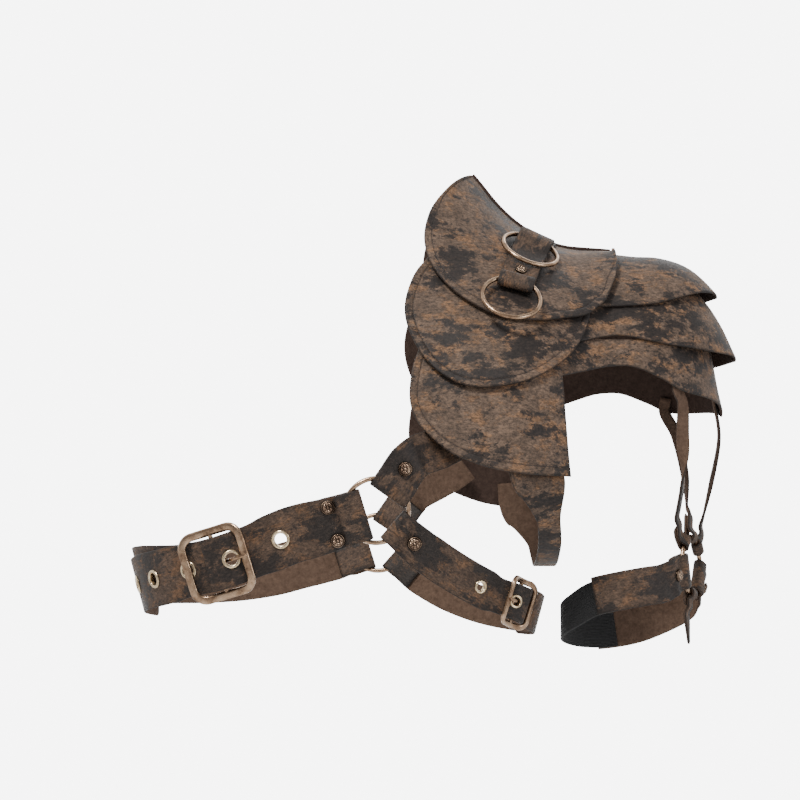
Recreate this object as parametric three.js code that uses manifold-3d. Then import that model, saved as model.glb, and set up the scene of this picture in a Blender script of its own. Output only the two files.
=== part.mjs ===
// A leather pauldron for the left shoulder, with its chest harness, arm band and rings.
// Millimetres, +Z up, +X towards the wearer's left, +Y towards the wearer's back.
// The origin is the seat on top of the shoulder, below the seam where plates and lames meet.
import * as THREE from "three";
import { mergeVertices } from "three/addons/utils/BufferGeometryUtils.js";
import Module from "manifold-3d";

const wasm = await Module();
wasm.setup();

// Leather and clearances
const PANEL_LEATHER = 2.5;
const STRAP_LEATHER = 2.4;
const BAND_ELASTIC = 1.6;
const CLEARANCE = 0.3;
const PANEL_CLEARANCE = 0.7;
const SEAM_GAP = 0.5;

// The shoulder form that plates and lames are shaped on
const SHOULDER_REACH = 124;
const SHOULDER_DROP = 230;
const NECK_RUN = 175;
const NECK_RISE = 128;
const OUTER_REACH = 84;
const RIDGE_TOP = 11;
const POLE_X = 10;
const HEM_FLARE = 2;
const SEAM_RISE = 3;
const RIDGE_BLEND = 0.16;
const FIRST_LAME_FLARE = 13;
const SECOND_LAME_FLARE = 19;
const THIRD_LAME_FLARE = 8;
const PLATE_END_LIFT = 3.2;

// The chest that the belts lie on
const CHEST_X = -225;
const CHEST_HALF_WIDTH = 160;
const CHEST_HALF_DEPTH = 122;
const CHEST_TAPER = 0.27;
const CHEST_SQUARENESS = 2.4;
const RING_DROP = 214;
const BELT_DROP = 264;
const SIDE_DROP = 286;
const RING_ANGLE = -8.6;

// The arm that the arm band lies on
const ARM_X = 16.7;
const ARM_RADIUS = 50;
const ARM_RING_X = 75.6;
const ARM_RING_DROP = 246.9;
const ARM_RING_TURN = 23;
const ARM_BAND_FALL = 52;
const ARM_BAND_TAIL = 40;
const ARM_RIVET_RUN = 36.8;

// Straps
const BELT_WIDTH = 46;
const BELT_FOLD_WIDTH = 42;
const UP_WIDTH = 34;
const SIDE_WIDTH = 33;
const RING_STRAP_WIDTH = 30;
const ARM_BAND_WIDTH = 32;
const HANGER_WIDTH = 11;
const UNDERARM_WIDTH = 48;
const UNDERARM_NARROW = 19;
const UNDERARM_X = -47;
const UNDERARM_DROP = 244;
const BELT_STITCH_RUN = 37;
const BELT_RIVET_SPREAD = 14;
const STRAP_RIVET_RUN = 41;
const EYELET_PITCH = 41;
const SIDE_EYELET_PITCH = 31;
const SIDE_STAND = 12;

// Rings, buckles, eyelets and rivets
const CHEST_RING_RADIUS = 26;
const PLATE_RING_RADIUS = 24;
const ARM_RING_RADIUS = 24;
const RING_WIRE = 2;
const RING_SIDES = 21;
const BUCKLE_LENGTH = 60;
const BUCKLE_WIDTH = 60;
const BUCKLE_BAR = 7;
const BUCKLE_THICK = 4;
const BUCKLE_BEND = 4;
const BUCKLE_CORNER = 0.4;
const SMALL_BUCKLE_LENGTH = 38;
const SMALL_BUCKLE_WIDTH = 42;
const SMALL_BUCKLE_BAR = 5;
const SMALL_BUCKLE_THICK = 3.4;
const SMALL_BUCKLE_BEND = 4.4;
const CENTRE_BAR = 1.75;
const PRONG = 1.3;
const EYELET_HOLE = 5;
const EYELET_RIM = 7.7;
const SMALL_EYELET_HOLE = 3.4;
const SMALL_EYELET_RIM = 5.6;
const EYELET_WALL = 0.6;
const EYELET_HEIGHT = 1;
const EYELET_SIDES = 9;
const RIVET_RADIUS = 6;
const RIVET_HEIGHT = 3.4;
const RIVET_SIDES = 9;
const SMALL_RIVET = 0.8;

// The section of the shoulder form, from the ridge down: reach and fall in front, the same on the
// outer arm, and what is left of the neck's rise
const SECTION = [
  ["down", "reach", "fall", "outerReach", "outerFall", "rise"],
  [0, 0, 0, 0, 0, 1],
  [0.1, 0.21, 0.035, 0.22, 0.015, 0.66],
  [0.2, 0.4, 0.095, 0.46, 0.03, 0.4],
  [0.3, 0.57, 0.17, 0.68, 0.075, 0.21],
  [0.4, 0.72, 0.265, 0.84, 0.16, 0.1],
  [0.5, 0.84, 0.375, 0.93, 0.255, 0.04],
  [0.6, 0.92, 0.495, 0.97, 0.36, 0.015],
  [0.72, 0.97, 0.64, 0.99, 0.49, 0],
  [0.86, 0.995, 0.81, 1, 0.64, 0],
  [1, 1, 1, 1, 0.8, 0],
];

// How reach and rise change from the neck, along -1, to the top of the arm, along 0
const SPAN = [
  ["along", "reach", "rise"],
  [-1, 0.97, 1],
  [-0.8, 0.99, 0.672],
  [-0.7, 1, 0.5],
  [-0.625, 1, 0.367],
  [-0.543, 1, 0.25],
  [-0.446, 0.98, 0.146],
  [-0.343, 0.93, 0.063],
  [-0.229, 0.85, 0.016],
  [-0.12, 0.77, 0],
  [-0.04, 0.725, 0],
  [0, 0.72, 0],
];

// Upper edge and hem of each panel, as places on the form; along runs to 1 at the outer seam
const TOP_PLATE_RIDGE = [
  ["share", "along", "down"],
  [0, -0.728, 0.001],
  [0.34, -0.66, 0],
  [0.56, -0.55, 0],
  [0.7, -0.42, 0],
  [0.84, -0.24, 0],
  [0.93, -0.1, 0],
  [1, 0.06, 0.02],
];
const TOP_PLATE_HEM = [
  ["share", "along", "down"],
  [0, -0.738, 0.012],
  [0.12, -0.833, 0.105],
  [0.24, -0.908, 0.19],
  [0.34, -0.922, 0.26],
  [0.44, -0.864, 0.332],
  [0.56, -0.72, 0.402],
  [0.7, -0.53, 0.446],
  [0.84, -0.29, 0.434],
  [0.92, -0.12, 0.388],
  [0.965, -0.02, 0.3],
  [1, 0.11, 0.06],
];
const MIDDLE_PLATE_TOP = [
  ["share", "along", "down"],
  [0, -0.84, 0.25],
  [0.5, -0.6, 0.35],
  [1, -0.15, 0.3],
];
const MIDDLE_PLATE_HEM = [
  ["share", "along", "down"],
  [0, -0.885, 0.272],
  [0.12, -0.972, 0.35],
  [0.22, -1.007, 0.43],
  [0.32, -0.975, 0.505],
  [0.42, -0.88, 0.588],
  [0.54, -0.72, 0.642],
  [0.66, -0.54, 0.641],
  [0.78, -0.365, 0.597],
  [0.88, -0.22, 0.513],
  [0.95, -0.155, 0.43],
  [1, -0.13, 0.355],
];
const LOWER_PLATE_TOP = [
  ["share", "along", "down"],
  [0, -0.88, 0.48],
  [0.5, -0.62, 0.55],
  [1, -0.29, 0.49],
];
const LOWER_PLATE_HEM = [
  ["share", "along", "down"],
  [0, -0.925, 0.505],
  [0.14, -0.972, 0.6],
  [0.26, -0.981, 0.68],
  [0.38, -0.94, 0.747],
  [0.52, -0.82, 0.822],
  [0.66, -0.66, 0.868],
  [0.8, -0.48, 0.89],
  [1, -0.252, 0.893],
];
const FIRST_LAME_HEM = [
  ["share", "along", "down"],
  [0, -0.1, 0.362],
  [0.25, 0.112, 0.36],
  [0.5, 0.36, 0.37],
  [0.75, 0.66, 0.385],
  [1, 1, 0.41],
];
const SECOND_LAME_HEM = [
  ["share", "along", "down"],
  [0, -0.25, 0.5],
  [0.17, -0.06, 0.464],
  [0.3, 0.06, 0.463],
  [0.45, 0.246, 0.492],
  [0.6, 0.466, 0.539],
  [0.8, 0.715, 0.59],
  [1, 1, 0.615],
];
const THIRD_LAME_HEM = [
  ["share", "along", "down"],
  [0, -0.36, 0.61],
  [0.15, -0.161, 0.573],
  [0.27, -0.03, 0.554],
  [0.4, 0.12, 0.56],
  [0.52, 0.28, 0.606],
  [0.64, 0.42, 0.662],
  [0.8, 0.62, 0.715],
  [1, 1, 0.8],
];

// Routes of the belts round the chest: degrees from the front, and the share of the way from the
// ring's height down to the belt's lowest height
const BELT_ROUTE = [
  ["angle", "share"],
  [8, 0.4],
  [16.5, 0.6],
  [29.5, 0.81],
  [40, 0.89],
  [52, 0.96],
  [70, 1],
  [90, 1],
  [112, 0.98],
];
const UNDER_BELT_ROUTE = [
  ["angle", "share"],
  [16.5, 0.6],
  [29.5, 0.81],
  [40, 0.89],
  [52, 0.92],
  [70, 0.87],
  [90, 0.81],
  [120, 0.75],
  [149, 0.66],
  [163.5, 0.54],
  [172, 0.4],
];
const SIDE_ROUTE = [
  ["angle", "share", "stand"],
  [-33, 0.65, 0.1],
  [-47, 0.83, 0.4],
  [-61, 0.925, 0.75],
  [-80, 0.98, 1],
  [-100, 0.96, 1.04],
  [-118, 0.9, 1.04],
];
const UNDER_SIDE_ROUTE = [
  ["angle", "share", "stand"],
  [-47, 0.83, 0.4],
  [-61, 0.925, 0.75],
  [-80, 0.97, 1],
  [-100, 0.94, 1],
  [-118, 0.88, 0.9],
  [-133, 0.8, 0.5],
  [-147, 0.65, 0.1],
];

// Reads a column of a table at a value of its first column, smoothly between the rows.
function lookUp(table, column, at) {
  const field = table[0].indexOf(column);
  const rows = table.slice(1);
  const last = rows.length - 1;
  const steepness = (i) => (rows[i + 1][field] - rows[i][field]) / (rows[i + 1][0] - rows[i][0]);
  const slope = (i) => {
    if (i === 0) return steepness(0);
    if (i === last) return steepness(last - 1);
    const before = rows[i][0] - rows[i - 1][0];
    const after = rows[i + 1][0] - rows[i][0];
    return (steepness(i) * before + steepness(i - 1) * after) / (before + after);
  };
  if (at <= rows[0][0]) return rows[0][field] + slope(0) * (at - rows[0][0]);
  if (at >= rows[last][0]) return rows[last][field] + slope(last) * (at - rows[last][0]);
  let i = 0;
  while (rows[i + 1][0] <= at) i++;
  const gap = rows[i + 1][0] - rows[i][0];
  const u = (at - rows[i][0]) / gap;
  const w = 1 - u;
  return (
    rows[i][field] * (1 + 2 * u) * w * w +
    slope(i) * gap * u * w * w +
    rows[i + 1][field] * u * u * (3 - 2 * u) -
    slope(i + 1) * gap * u * u * w
  );
}

const mix = (a, b, share) => a + (b - a) * share;
const smooth = (at, low, high) => THREE.MathUtils.smoothstep(at, low, high);
const vector = (x, y, z) => new THREE.Vector3(x, y, z);
const mirror = (v, side) => vector(v.x, side < 0 ? v.y : -v.y, v.z);

// Solids

// A geometry of points and triangles, turned so that its faces point outwards.
function closedGeometry(points, faces) {
  let volume = 0;
  for (const [a, b, c] of faces) volume += points[a].dot(points[b].clone().cross(points[c]));
  const turned = volume < 0 ? faces.map(([a, b, c]) => [a, c, b]) : faces;
  const geometry = new THREE.BufferGeometry().setFromPoints(points);
  geometry.setIndex(turned.flat());
  geometry.computeVertexNormals();
  return geometry;
}

// A closed wall on a grid of points: pointAt takes two shares, and 0 for the inner face or 1.
function wall(columns, rows, pointAt) {
  const points = [];
  for (const layer of [0, 1])
    for (let j = 0; j <= rows; j++)
      for (let i = 0; i <= columns; i++) points.push(pointAt(i / columns, j / rows, layer));
  const at = (layer, i, j) => (layer * (rows + 1) + j) * (columns + 1) + i;
  const faces = [];
  const quad = (a, b, c, d) => faces.push([a, b, c], [a, c, d]);
  for (let i = 0; i < columns; i++) {
    for (let j = 0; j < rows; j++) {
      quad(at(1, i, j), at(1, i + 1, j), at(1, i + 1, j + 1), at(1, i, j + 1));
      quad(at(0, i, j), at(0, i, j + 1), at(0, i + 1, j + 1), at(0, i + 1, j));
    }
    quad(at(0, i, 0), at(0, i + 1, 0), at(1, i + 1, 0), at(1, i, 0));
    quad(at(0, i + 1, rows), at(0, i, rows), at(1, i, rows), at(1, i + 1, rows));
  }
  for (let j = 0; j < rows; j++) {
    quad(at(0, 0, j + 1), at(0, 0, j), at(1, 0, j), at(1, 0, j + 1));
    quad(at(0, columns, j), at(0, columns, j + 1), at(1, columns, j + 1), at(1, columns, j));
  }
  return closedGeometry(points, faces);
}

// A rod through rings of points; a loop joins its last ring to its first.
function rod(rings, loop) {
  const sides = rings[0].length;
  const faces = [];
  const at = (ring, side) => (ring % rings.length) * sides + (side % sides);
  for (let i = 0; i < rings.length - (loop ? 0 : 1); i++)
    for (let k = 0; k < sides; k++) {
      faces.push([at(i, k), at(i + 1, k), at(i + 1, k + 1)]);
      faces.push([at(i, k), at(i + 1, k + 1), at(i, k + 1)]);
    }
  if (!loop)
    for (let k = 1; k < sides - 1; k++) {
      faces.push([at(0, 0), at(0, k), at(0, k + 1)]);
      faces.push([at(rings.length - 1, 0), at(rings.length - 1, k + 1), at(rings.length - 1, k)]);
    }
  return closedGeometry(rings.flat(), faces);
}

function toSolid(geometry) {
  const bare = geometry.clone();
  bare.deleteAttribute("normal");
  bare.deleteAttribute("uv");
  const merged = mergeVertices(bare, 1e-4);
  const vertProperties = new Float32Array(merged.attributes.position.array);
  const triVerts = new Uint32Array(merged.index.array);
  return new wasm.Manifold(new wasm.Mesh({ numProp: 3, vertProperties, triVerts }));
}

function toGeometry(solid) {
  const { vertProperties, triVerts } = solid.getMesh();
  const geometry = new THREE.BufferGeometry();
  geometry.setAttribute("position", new THREE.BufferAttribute(vertProperties, 3));
  geometry.setIndex(new THREE.BufferAttribute(triVerts, 1));
  geometry.computeVertexNormals();
  return geometry;
}

function cut(geometry, tools) {
  return toGeometry(tools.reduce((solid, tool) => solid.subtract(toSolid(tool)), toSolid(geometry)));
}

function join(geometries) {
  const [first, ...rest] = geometries.map(toSolid);
  return toGeometry(rest.reduce((solid, other) => solid.add(other), first));
}

// A lathed solid with its axis along +Z.
function turned(profile, sides) {
  const points = profile.map(([radius, height]) => new THREE.Vector2(radius, height));
  const geometry = new THREE.LatheGeometry(points, sides);
  geometry.deleteAttribute("normal");
  geometry.deleteAttribute("uv");
  return mergeVertices(geometry.rotateX(Math.PI / 2), 1e-4);
}

// The shoulder form

function formPoint(along, down, side) {
  const reach = lookUp(SECTION, "reach", down);
  const fall = lookUp(SECTION, "fall", down);
  if (along <= 0) {
    const rise = NECK_RISE * lookUp(SPAN, "rise", along) * lookUp(SECTION, "rise", down);
    const out = SHOULDER_REACH * lookUp(SPAN, "reach", along) * reach;
    return vector(POLE_X + along * NECK_RUN, side * out, RIDGE_TOP - SHOULDER_DROP * fall + rise);
  }
  const turn = (along * Math.PI) / 2;
  const outer = Math.sin(turn) ** 2;
  const sideways = OUTER_REACH * lookUp(SECTION, "outerReach", down);
  const out = SHOULDER_REACH * lookUp(SPAN, "reach", 0) * reach;
  return vector(
    POLE_X + sideways * Math.sin(turn),
    side * out * Math.cos(turn),
    RIDGE_TOP - SHOULDER_DROP * mix(fall, lookUp(SECTION, "outerFall", down), outer),
  );
}

function formNormal(along, down, side) {
  const step = 0.01;
  const low = Math.max(down, step);
  const across = formPoint(along + step, low, side).sub(formPoint(along - step, low, side));
  const fall = formPoint(along, low + step, side).sub(formPoint(along, low - step, side));
  const normal = across.cross(fall).normalize();
  return side < 0 ? normal.negate() : normal;
}

// A point on the form, lifted along its normal and kept on its own side of the seam. At the ridge
// the lift is straight up, so that front and back meet there.
function seat(along, down, side, lift) {
  const normal = formNormal(along, down, side);
  const away = normal.clone();
  away.y *= smooth(down, -0.02, RIDGE_BLEND);
  const point = formPoint(along, down, side).addScaledVector(away.normalize(), lift);
  point.y = side * Math.max(side * point.y, SEAM_GAP / 2);
  return { point, normal };
}

// Each layer of leather lies on the one below it.
const layerLift = (layer) => layer * (PANEL_LEATHER + PANEL_CLEARANCE);
const tipShare = (along) => smooth(along, 0.25, 1);

const PANELS = {
  top_plate: {
    top: TOP_PLATE_RIDGE,
    hem: TOP_PLATE_HEM,
    layer: 3,
    columns: 18,
    rows: 6,
    flare: (along, across) =>
      HEM_FLARE * across ** 6 + PLATE_END_LIFT * smooth(along, -0.18, 0.02) * smooth(across, 0, 0.35),
    backRise: (across) => SEAM_RISE * (1 - smooth(across, 0, 1 / 6)),
  },
  middle_plate: {
    top: MIDDLE_PLATE_TOP,
    hem: MIDDLE_PLATE_HEM,
    layer: 2,
    columns: 17,
    rows: 5,
    flare: (along, across, u) => HEM_FLARE * across ** 6 * smooth(u, 0.02, 0.1) * smooth(1 - u, 0.03, 0.12),
  },
  lower_plate: {
    top: LOWER_PLATE_TOP,
    hem: LOWER_PLATE_HEM,
    layer: 1,
    columns: 16,
    rows: 6,
    flare: (along, across, u) => HEM_FLARE * across ** 6 * smooth(u, 0.03, 0.14),
  },
  shoulder_lame_1: {
    top: [
      ["share", "along", "down"],
      [0, -0.1, 0.02],
      [1, 1, 0.02],
    ],
    hem: FIRST_LAME_HEM,
    layer: 2,
    columns: 13,
    rows: 5,
    flare: (along, across) => FIRST_LAME_FLARE * tipShare(along) * across ** 2,
  },
  shoulder_lame_2: {
    top: [
      ["share", "along", "down"],
      [0, -0.22, 0.34],
      [1, 1, 0.3],
    ],
    hem: SECOND_LAME_HEM,
    layer: 1,
    columns: 14,
    rows: 5,
    flare: (along, across) => SECOND_LAME_FLARE * tipShare(along) * across ** 1.4,
  },
  shoulder_lame_3: {
    top: [
      ["share", "along", "down"],
      [0, -0.36, 0.46],
      [1, 1, 0.48],
    ],
    hem: THIRD_LAME_HEM,
    layer: 0,
    columns: 15,
    rows: 5,
    flare: (along, across) => THIRD_LAME_FLARE * tipShare(along) * across ** 2,
  },
};

// A place on a panel: shares along and across it, and a lift above its inner face.
function panelSeat(panel, u, v, side, lift) {
  const along = mix(lookUp(panel.top, "along", u), lookUp(panel.hem, "along", u), v);
  const down = mix(lookUp(panel.top, "down", u), lookUp(panel.hem, "down", u), v);
  const rise = side > 0 && panel.backRise ? panel.backRise(v) : 0;
  const stand = layerLift(panel.layer) + panel.flare(along, v, u) + rise;
  return seat(along, down, side, stand + lift);
}

// Columns of a panel stand closer together towards its outer end, where its hem turns.
const COLUMN_SHARES = [
  ["column", "share"],
  [0, 0],
  [0.7, 0.78],
  [0.85, 0.91],
  [1, 1],
];

function panelGeometry(panel, side) {
  const pointAt = (u, v, outer) =>
    panelSeat(panel, lookUp(COLUMN_SHARES, "share", u), v, side, outer * PANEL_LEATHER).point;
  return wall(panel.columns, panel.rows, pointAt);
}

// Tracks and straps

// A track is a smooth middle line with an outward direction along it.
function makeTrack(stops) {
  const curve = new THREE.CatmullRomCurve3(stops.map((stop) => stop.point), false, "centripetal");
  curve.arcLengthDivisions = 400;
  const length = curve.getLength();
  const place = (run, across, height) => {
    const u = THREE.MathUtils.clamp(run / length, 0, 1);
    const tangent = curve.getTangentAt(u);
    const point = curve.getPointAt(u).addScaledVector(tangent, run - u * length);
    const at = Math.min(curve.getUtoTmapping(u) * (stops.length - 1), stops.length - 1 - 1e-9);
    const i = Math.floor(at);
    const out = stops[i].normal.clone().lerp(stops[i + 1].normal, at - i);
    out.addScaledVector(tangent, -out.dot(tangent)).normalize();
    const sideways = tangent.clone().cross(out);
    return {
      point: point.clone().addScaledVector(sideways, across).addScaledVector(out, height),
      tangent,
      out,
      sideways,
    };
  };
  const nearest = (target) => {
    const away = (u) => curve.getPointAt(THREE.MathUtils.clamp(u, 0, 1)).distanceTo(target);
    const steps = 200;
    let best = 0;
    for (let i = 1; i <= steps; i++) if (away(i / steps) < away(best)) best = i / steps;
    for (let step = 0.5 / steps; step > 1e-6; step /= 2)
      for (const u of [best - step, best + step]) if (away(u) < away(best)) best = u;
    return best * length;
  };
  return { length, place, nearest };
}

// Leather along a track: a line of runs and heights of its middle, with its width at each run.
function strap(track, line, widthAt, leather = STRAP_LEATHER) {
  const last = line.length - 1;
  const bisector = (i) => {
    const before = line[Math.max(i - 1, 0)];
    const after = line[Math.min(i + 1, last)];
    const dx = after[0] - before[0];
    const dy = after[1] - before[1];
    const size = Math.hypot(dx, dy);
    return [-dy / size, dx / size];
  };
  return wall(last, 1, (u, v, outer) => {
    const i = Math.round(u * last);
    const [nx, ny] = bisector(i);
    const offset = (outer - 0.5) * leather;
    const [run, height] = line[i];
    const across = (v - 0.5) * widthAt(run);
    return track.place(run + nx * offset, across, height + ny * offset).point;
  });
}

const layerHeight = (layer) => STRAP_LEATHER / 2 + layer * (STRAP_LEATHER + CLEARANCE);
const turnRadius = (wire) => wire + CLEARANCE + STRAP_LEATHER / 2;
const wireHeight = (wire) => layerHeight(0) + turnRadius(wire);

// The middle line of a strap end that turns round a wire: in along the bottom, round, and back over.
function foldedEnd(wire, foldRun, wireEnd, tailEnd, settle = 10) {
  const radius = turnRadius(wire);
  const centre = foldRun + radius + STRAP_LEATHER / 2;
  const high = wireHeight(wire) + radius;
  const line = [[tailEnd, layerHeight(0)]];
  for (let k = 0; k <= 4; k++) {
    const turn = (k * Math.PI) / 4;
    line.push([centre - radius * Math.sin(turn), wireHeight(wire) - radius * Math.cos(turn)]);
  }
  line.push([wireEnd, high]);
  line.push([mix(wireEnd, tailEnd, 0.16), mix(high, layerHeight(1), 0.6)]);
  line.push([mix(wireEnd, tailEnd, 0.34), layerHeight(1)]);
  line.push([tailEnd + 2, layerHeight(1)]);
  line.push([tailEnd + 2 + settle, layerHeight(0)]);
  return line;
}

// Evenly spaced runs of a strap that lies flat at a height.
function flatRuns(from, to, step, height) {
  const count = Math.max(1, Math.round((to - from) / step));
  return Array.from({ length: count }, (_, i) => [mix(from, to, (i + 1) / count), height]);
}

// A piece's local frame on a track, for what is fastened through the strap.
function placed(geometry, track, run, across, height, tilt = 0) {
  const at = track.place(run, across, height);
  const basis = new THREE.Matrix4().makeBasis(at.tangent, at.sideways.clone().negate(), at.out);
  const lean = new THREE.Matrix4().makeRotationY(tilt);
  return geometry.clone().applyMatrix4(basis.multiply(lean).setPosition(at.point));
}

// Materials
const leatherFinish = () =>
  new THREE.MeshStandardMaterial({ color: 0x6b4d38, roughness: 0.75, metalness: 0 });
const elasticFinish = () =>
  new THREE.MeshStandardMaterial({ color: 0x101010, roughness: 0.9, metalness: 0 });
const brassFinish = () =>
  new THREE.MeshStandardMaterial({ color: 0xa98d6c, roughness: 0.35, metalness: 1 });

const pauldron = new THREE.Group();
pauldron.name = "pauldron";

function addPiece(name, geometry, material) {
  const mesh = new THREE.Mesh(geometry, material);
  mesh.name = name;
  pauldron.add(mesh);
  return mesh;
}

const SIDES = [
  { side: -1, label: "front" },
  { side: 1, label: "back" },
];

// Plates and lames
for (const [name, panel] of Object.entries(PANELS))
  for (const { side, label } of SIDES)
    addPiece(`${name}_${label}`, panelGeometry(panel, side), leatherFinish());

// Hardware shapes

const ringGeometry = (radius) => new THREE.TorusGeometry(radius, RING_WIRE, 5, RING_SIDES);

const rivetGeometry = turned(
  [
    [0, 0],
    [RIVET_RADIUS, 0],
    [RIVET_RADIUS, RIVET_HEIGHT * 0.25],
    [RIVET_RADIUS * 0.72, RIVET_HEIGHT * 0.78],
    [0, RIVET_HEIGHT],
  ],
  RIVET_SIDES,
);

function eyeletGeometry(hole, rim) {
  const depth = STRAP_LEATHER + CLEARANCE;
  return turned(
    [
      [hole, -depth],
      [hole + EYELET_WALL, -depth],
      [hole + EYELET_WALL, 0],
      [rim, 0],
      [(hole + rim) / 2, EYELET_HEIGHT],
      [hole, EYELET_HEIGHT * 0.5],
      [hole, -depth],
    ],
    EYELET_SIDES,
  );
}

function eyeletCutter(hole) {
  const reach = 3 * STRAP_LEATHER;
  const radius = hole + EYELET_WALL + CLEARANCE;
  return turned(
    [
      [0, -reach],
      [radius, -reach],
      [radius, reach],
      [0, reach],
    ],
    EYELET_SIDES,
  );
}

// A ring of points round a station of a bar, an oval of the given half sizes.
function ovalRing(centre, wide, thick, halfWide, halfThick, sides) {
  return Array.from({ length: sides }, (_, k) => {
    const turn = (2 * Math.PI * (k + 0.5)) / sides;
    return centre
      .clone()
      .addScaledVector(wide, halfWide * Math.cos(turn))
      .addScaledVector(thick, halfThick * Math.sin(turn));
  });
}

// A buckle frame in its own plane: run along X, width along Y, bent up away from the centre bar.
function buckleFrame({ length, width, bar, thick, bend }) {
  const halfLength = (length - bar) / 2;
  const halfWidth = (width - bar) / 2;
  const corner = Math.min(halfLength, halfWidth) * BUCKLE_CORNER;
  const rings = [];
  for (const [sx, sy, start] of [
    [1, 1, 0],
    [-1, 1, 1],
    [-1, -1, 2],
    [1, -1, 3],
  ])
    for (let k = 0; k <= 3; k++) {
      const turn = ((start + k / 3) * Math.PI) / 2;
      const out = vector(Math.cos(turn), Math.sin(turn), 0);
      const x = sx * (halfLength - corner) + corner * out.x;
      const y = sy * (halfWidth - corner) + corner * out.y;
      const z = bend * (x / halfLength) ** 2;
      rings.push(ovalRing(vector(x, y, z), out, vector(0, 0, 1), bar / 2, thick / 2, 6));
    }
  const rail = [-1, 1].map((end) =>
    ovalRing(vector(0, end * halfWidth, 0), vector(1, 0, 0), vector(0, 0, 1), CENTRE_BAR, CENTRE_BAR, 8),
  );
  return join([rod(rings, true), rod(rail, false)]);
}

// The prong: a hook over the centre bar and a pin through the strap to the frame's ring side.
function prongGeometry({ length, thick, bend }, rising) {
  const hook = CENTRE_BAR + CLEARANCE + PRONG;
  const rest = bend + thick / 2 + CLEARANCE + PRONG;
  const line = [205, 165, 125, 85, 50].map((degrees) => {
    const turn = THREE.MathUtils.degToRad(degrees);
    return [hook * Math.cos(turn), hook * Math.sin(turn)];
  });
  line.push(...rising, [length / 2 - 4, rest], [length / 2, rest]);
  const rings = line.map(([x, z], i) => {
    const before = line[Math.max(i - 1, 0)];
    const after = line[Math.min(i + 1, line.length - 1)];
    const way = vector(after[0] - before[0], 0, after[1] - before[1]).normalize();
    const up = vector(0, 1, 0).cross(way).negate();
    return ovalRing(vector(x, 0, z), vector(0, 1, 0), up, PRONG, PRONG, 6);
  });
  return rod(rings, false);
}

// The slot in a folded strap end that the prong comes out of.
function prongSlot() {
  const width = 2 * (PRONG + 2 * CLEARANCE);
  const reach = 2 * (CENTRE_BAR + STRAP_LEATHER + 2 * CLEARANCE + PRONG);
  return new THREE.BoxGeometry(reach, width, 2 * reach);
}

// The chest

function chestPoint(angle, height) {
  const halfWidth = CHEST_HALF_WIDTH + CHEST_TAPER * (height + BELT_DROP);
  const halfDepth = (CHEST_HALF_DEPTH * halfWidth) / CHEST_HALF_WIDTH;
  const turn = THREE.MathUtils.degToRad(angle);
  const rounded = (value) => Math.sign(value) * Math.abs(value) ** (2 / CHEST_SQUARENESS);
  return vector(
    CHEST_X - halfWidth * rounded(Math.sin(turn)),
    -halfDepth * rounded(Math.cos(turn)),
    height,
  );
}

function chestStop(angle, height) {
  const round = chestPoint(angle + 1, height).sub(chestPoint(angle - 1, height));
  const up = chestPoint(angle, height + 1).sub(chestPoint(angle, height - 1));
  return { point: chestPoint(angle, height), normal: round.cross(up).normalize().negate() };
}

function routeStops(route, lowest) {
  return route.slice(1).map(([angle, share, stand = 0]) => {
    const stop = chestStop(angle, -mix(RING_DROP, lowest, share));
    stop.point.addScaledVector(stop.normal, stand * SIDE_STAND);
    return stop;
  });
}

const CHEST_RING_STARTS = [0, 25, 50];
const ringStop = chestStop(RING_ANGLE, -RING_DROP);
const ringUp = vector(0, 0, 1).addScaledVector(ringStop.normal, -ringStop.normal.z).normalize();
const ringRight = ringUp.clone().cross(ringStop.normal);

// Stops from the ring's middle outwards, straight in the ring's plane.
function ringStops(right, up, runs) {
  const way = ringRight.clone().multiplyScalar(right).addScaledVector(ringUp, up).normalize();
  return runs.map((run) => ({
    point: ringStop.point.clone().addScaledVector(way, run),
    normal: ringStop.normal,
  }));
}

const mirrored = (stops, side) =>
  stops.map(({ point, normal }) => ({ point: mirror(point, side), normal: mirror(normal, side) }));

for (const { side, label } of SIDES) {
  const centre = ringStop.point.clone().addScaledVector(ringStop.normal, wireHeight(RING_WIRE));
  const basis = new THREE.Matrix4().makeBasis(ringRight, ringUp, ringStop.normal);
  const ring = ringGeometry(CHEST_RING_RADIUS).applyMatrix4(basis.setPosition(centre));
  if (side > 0) ring.scale(1, -1, 1);
  const facing = side > 0 ? closedGeometryOf(ring) : ring;
  addPiece(`chest_ring_${label}`, facing, brassFinish());
}

// Turns the faces of a mirrored geometry out again.
function closedGeometryOf(geometry) {
  const bare = geometry.clone();
  bare.deleteAttribute("normal");
  bare.deleteAttribute("uv");
  const merged = mergeVertices(bare, 1e-4);
  const points = [];
  const position = merged.attributes.position;
  for (let i = 0; i < position.count; i++) points.push(vector().fromBufferAttribute(position, i));
  const index = merged.index.array;
  const faces = [];
  for (let i = 0; i < index.length; i += 3) faces.push([index[i], index[i + 1], index[i + 2]]);
  return closedGeometry(points, faces);
}

// Where a strap of a width meets a ring's wire, from the ring's middle.
const foldAt = (radius, width) =>
  Math.sqrt((radius - RING_WIRE - 2 * CLEARANCE) ** 2 - (width / 2) ** 2) - RING_WIRE;
const ringEnd = (radius) => radius + RING_WIRE + 2 * CLEARANCE;
const narrowing = (first, then, from, to) => (run) => mix(first, then, smooth(run, from, to));

// The highest place of a strap's middle line within a reach of a run.
function crest(line, run, reach) {
  const heights = [];
  for (let i = 1; i < line.length; i++)
    for (let k = 0; k <= 8; k++) {
      const at = mix(line[i - 1][0], line[i][0], k / 8);
      if (Math.abs(at - run) <= reach) heights.push(mix(line[i - 1][1], line[i][1], k / 8));
    }
  return Math.max(...heights);
}

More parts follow.
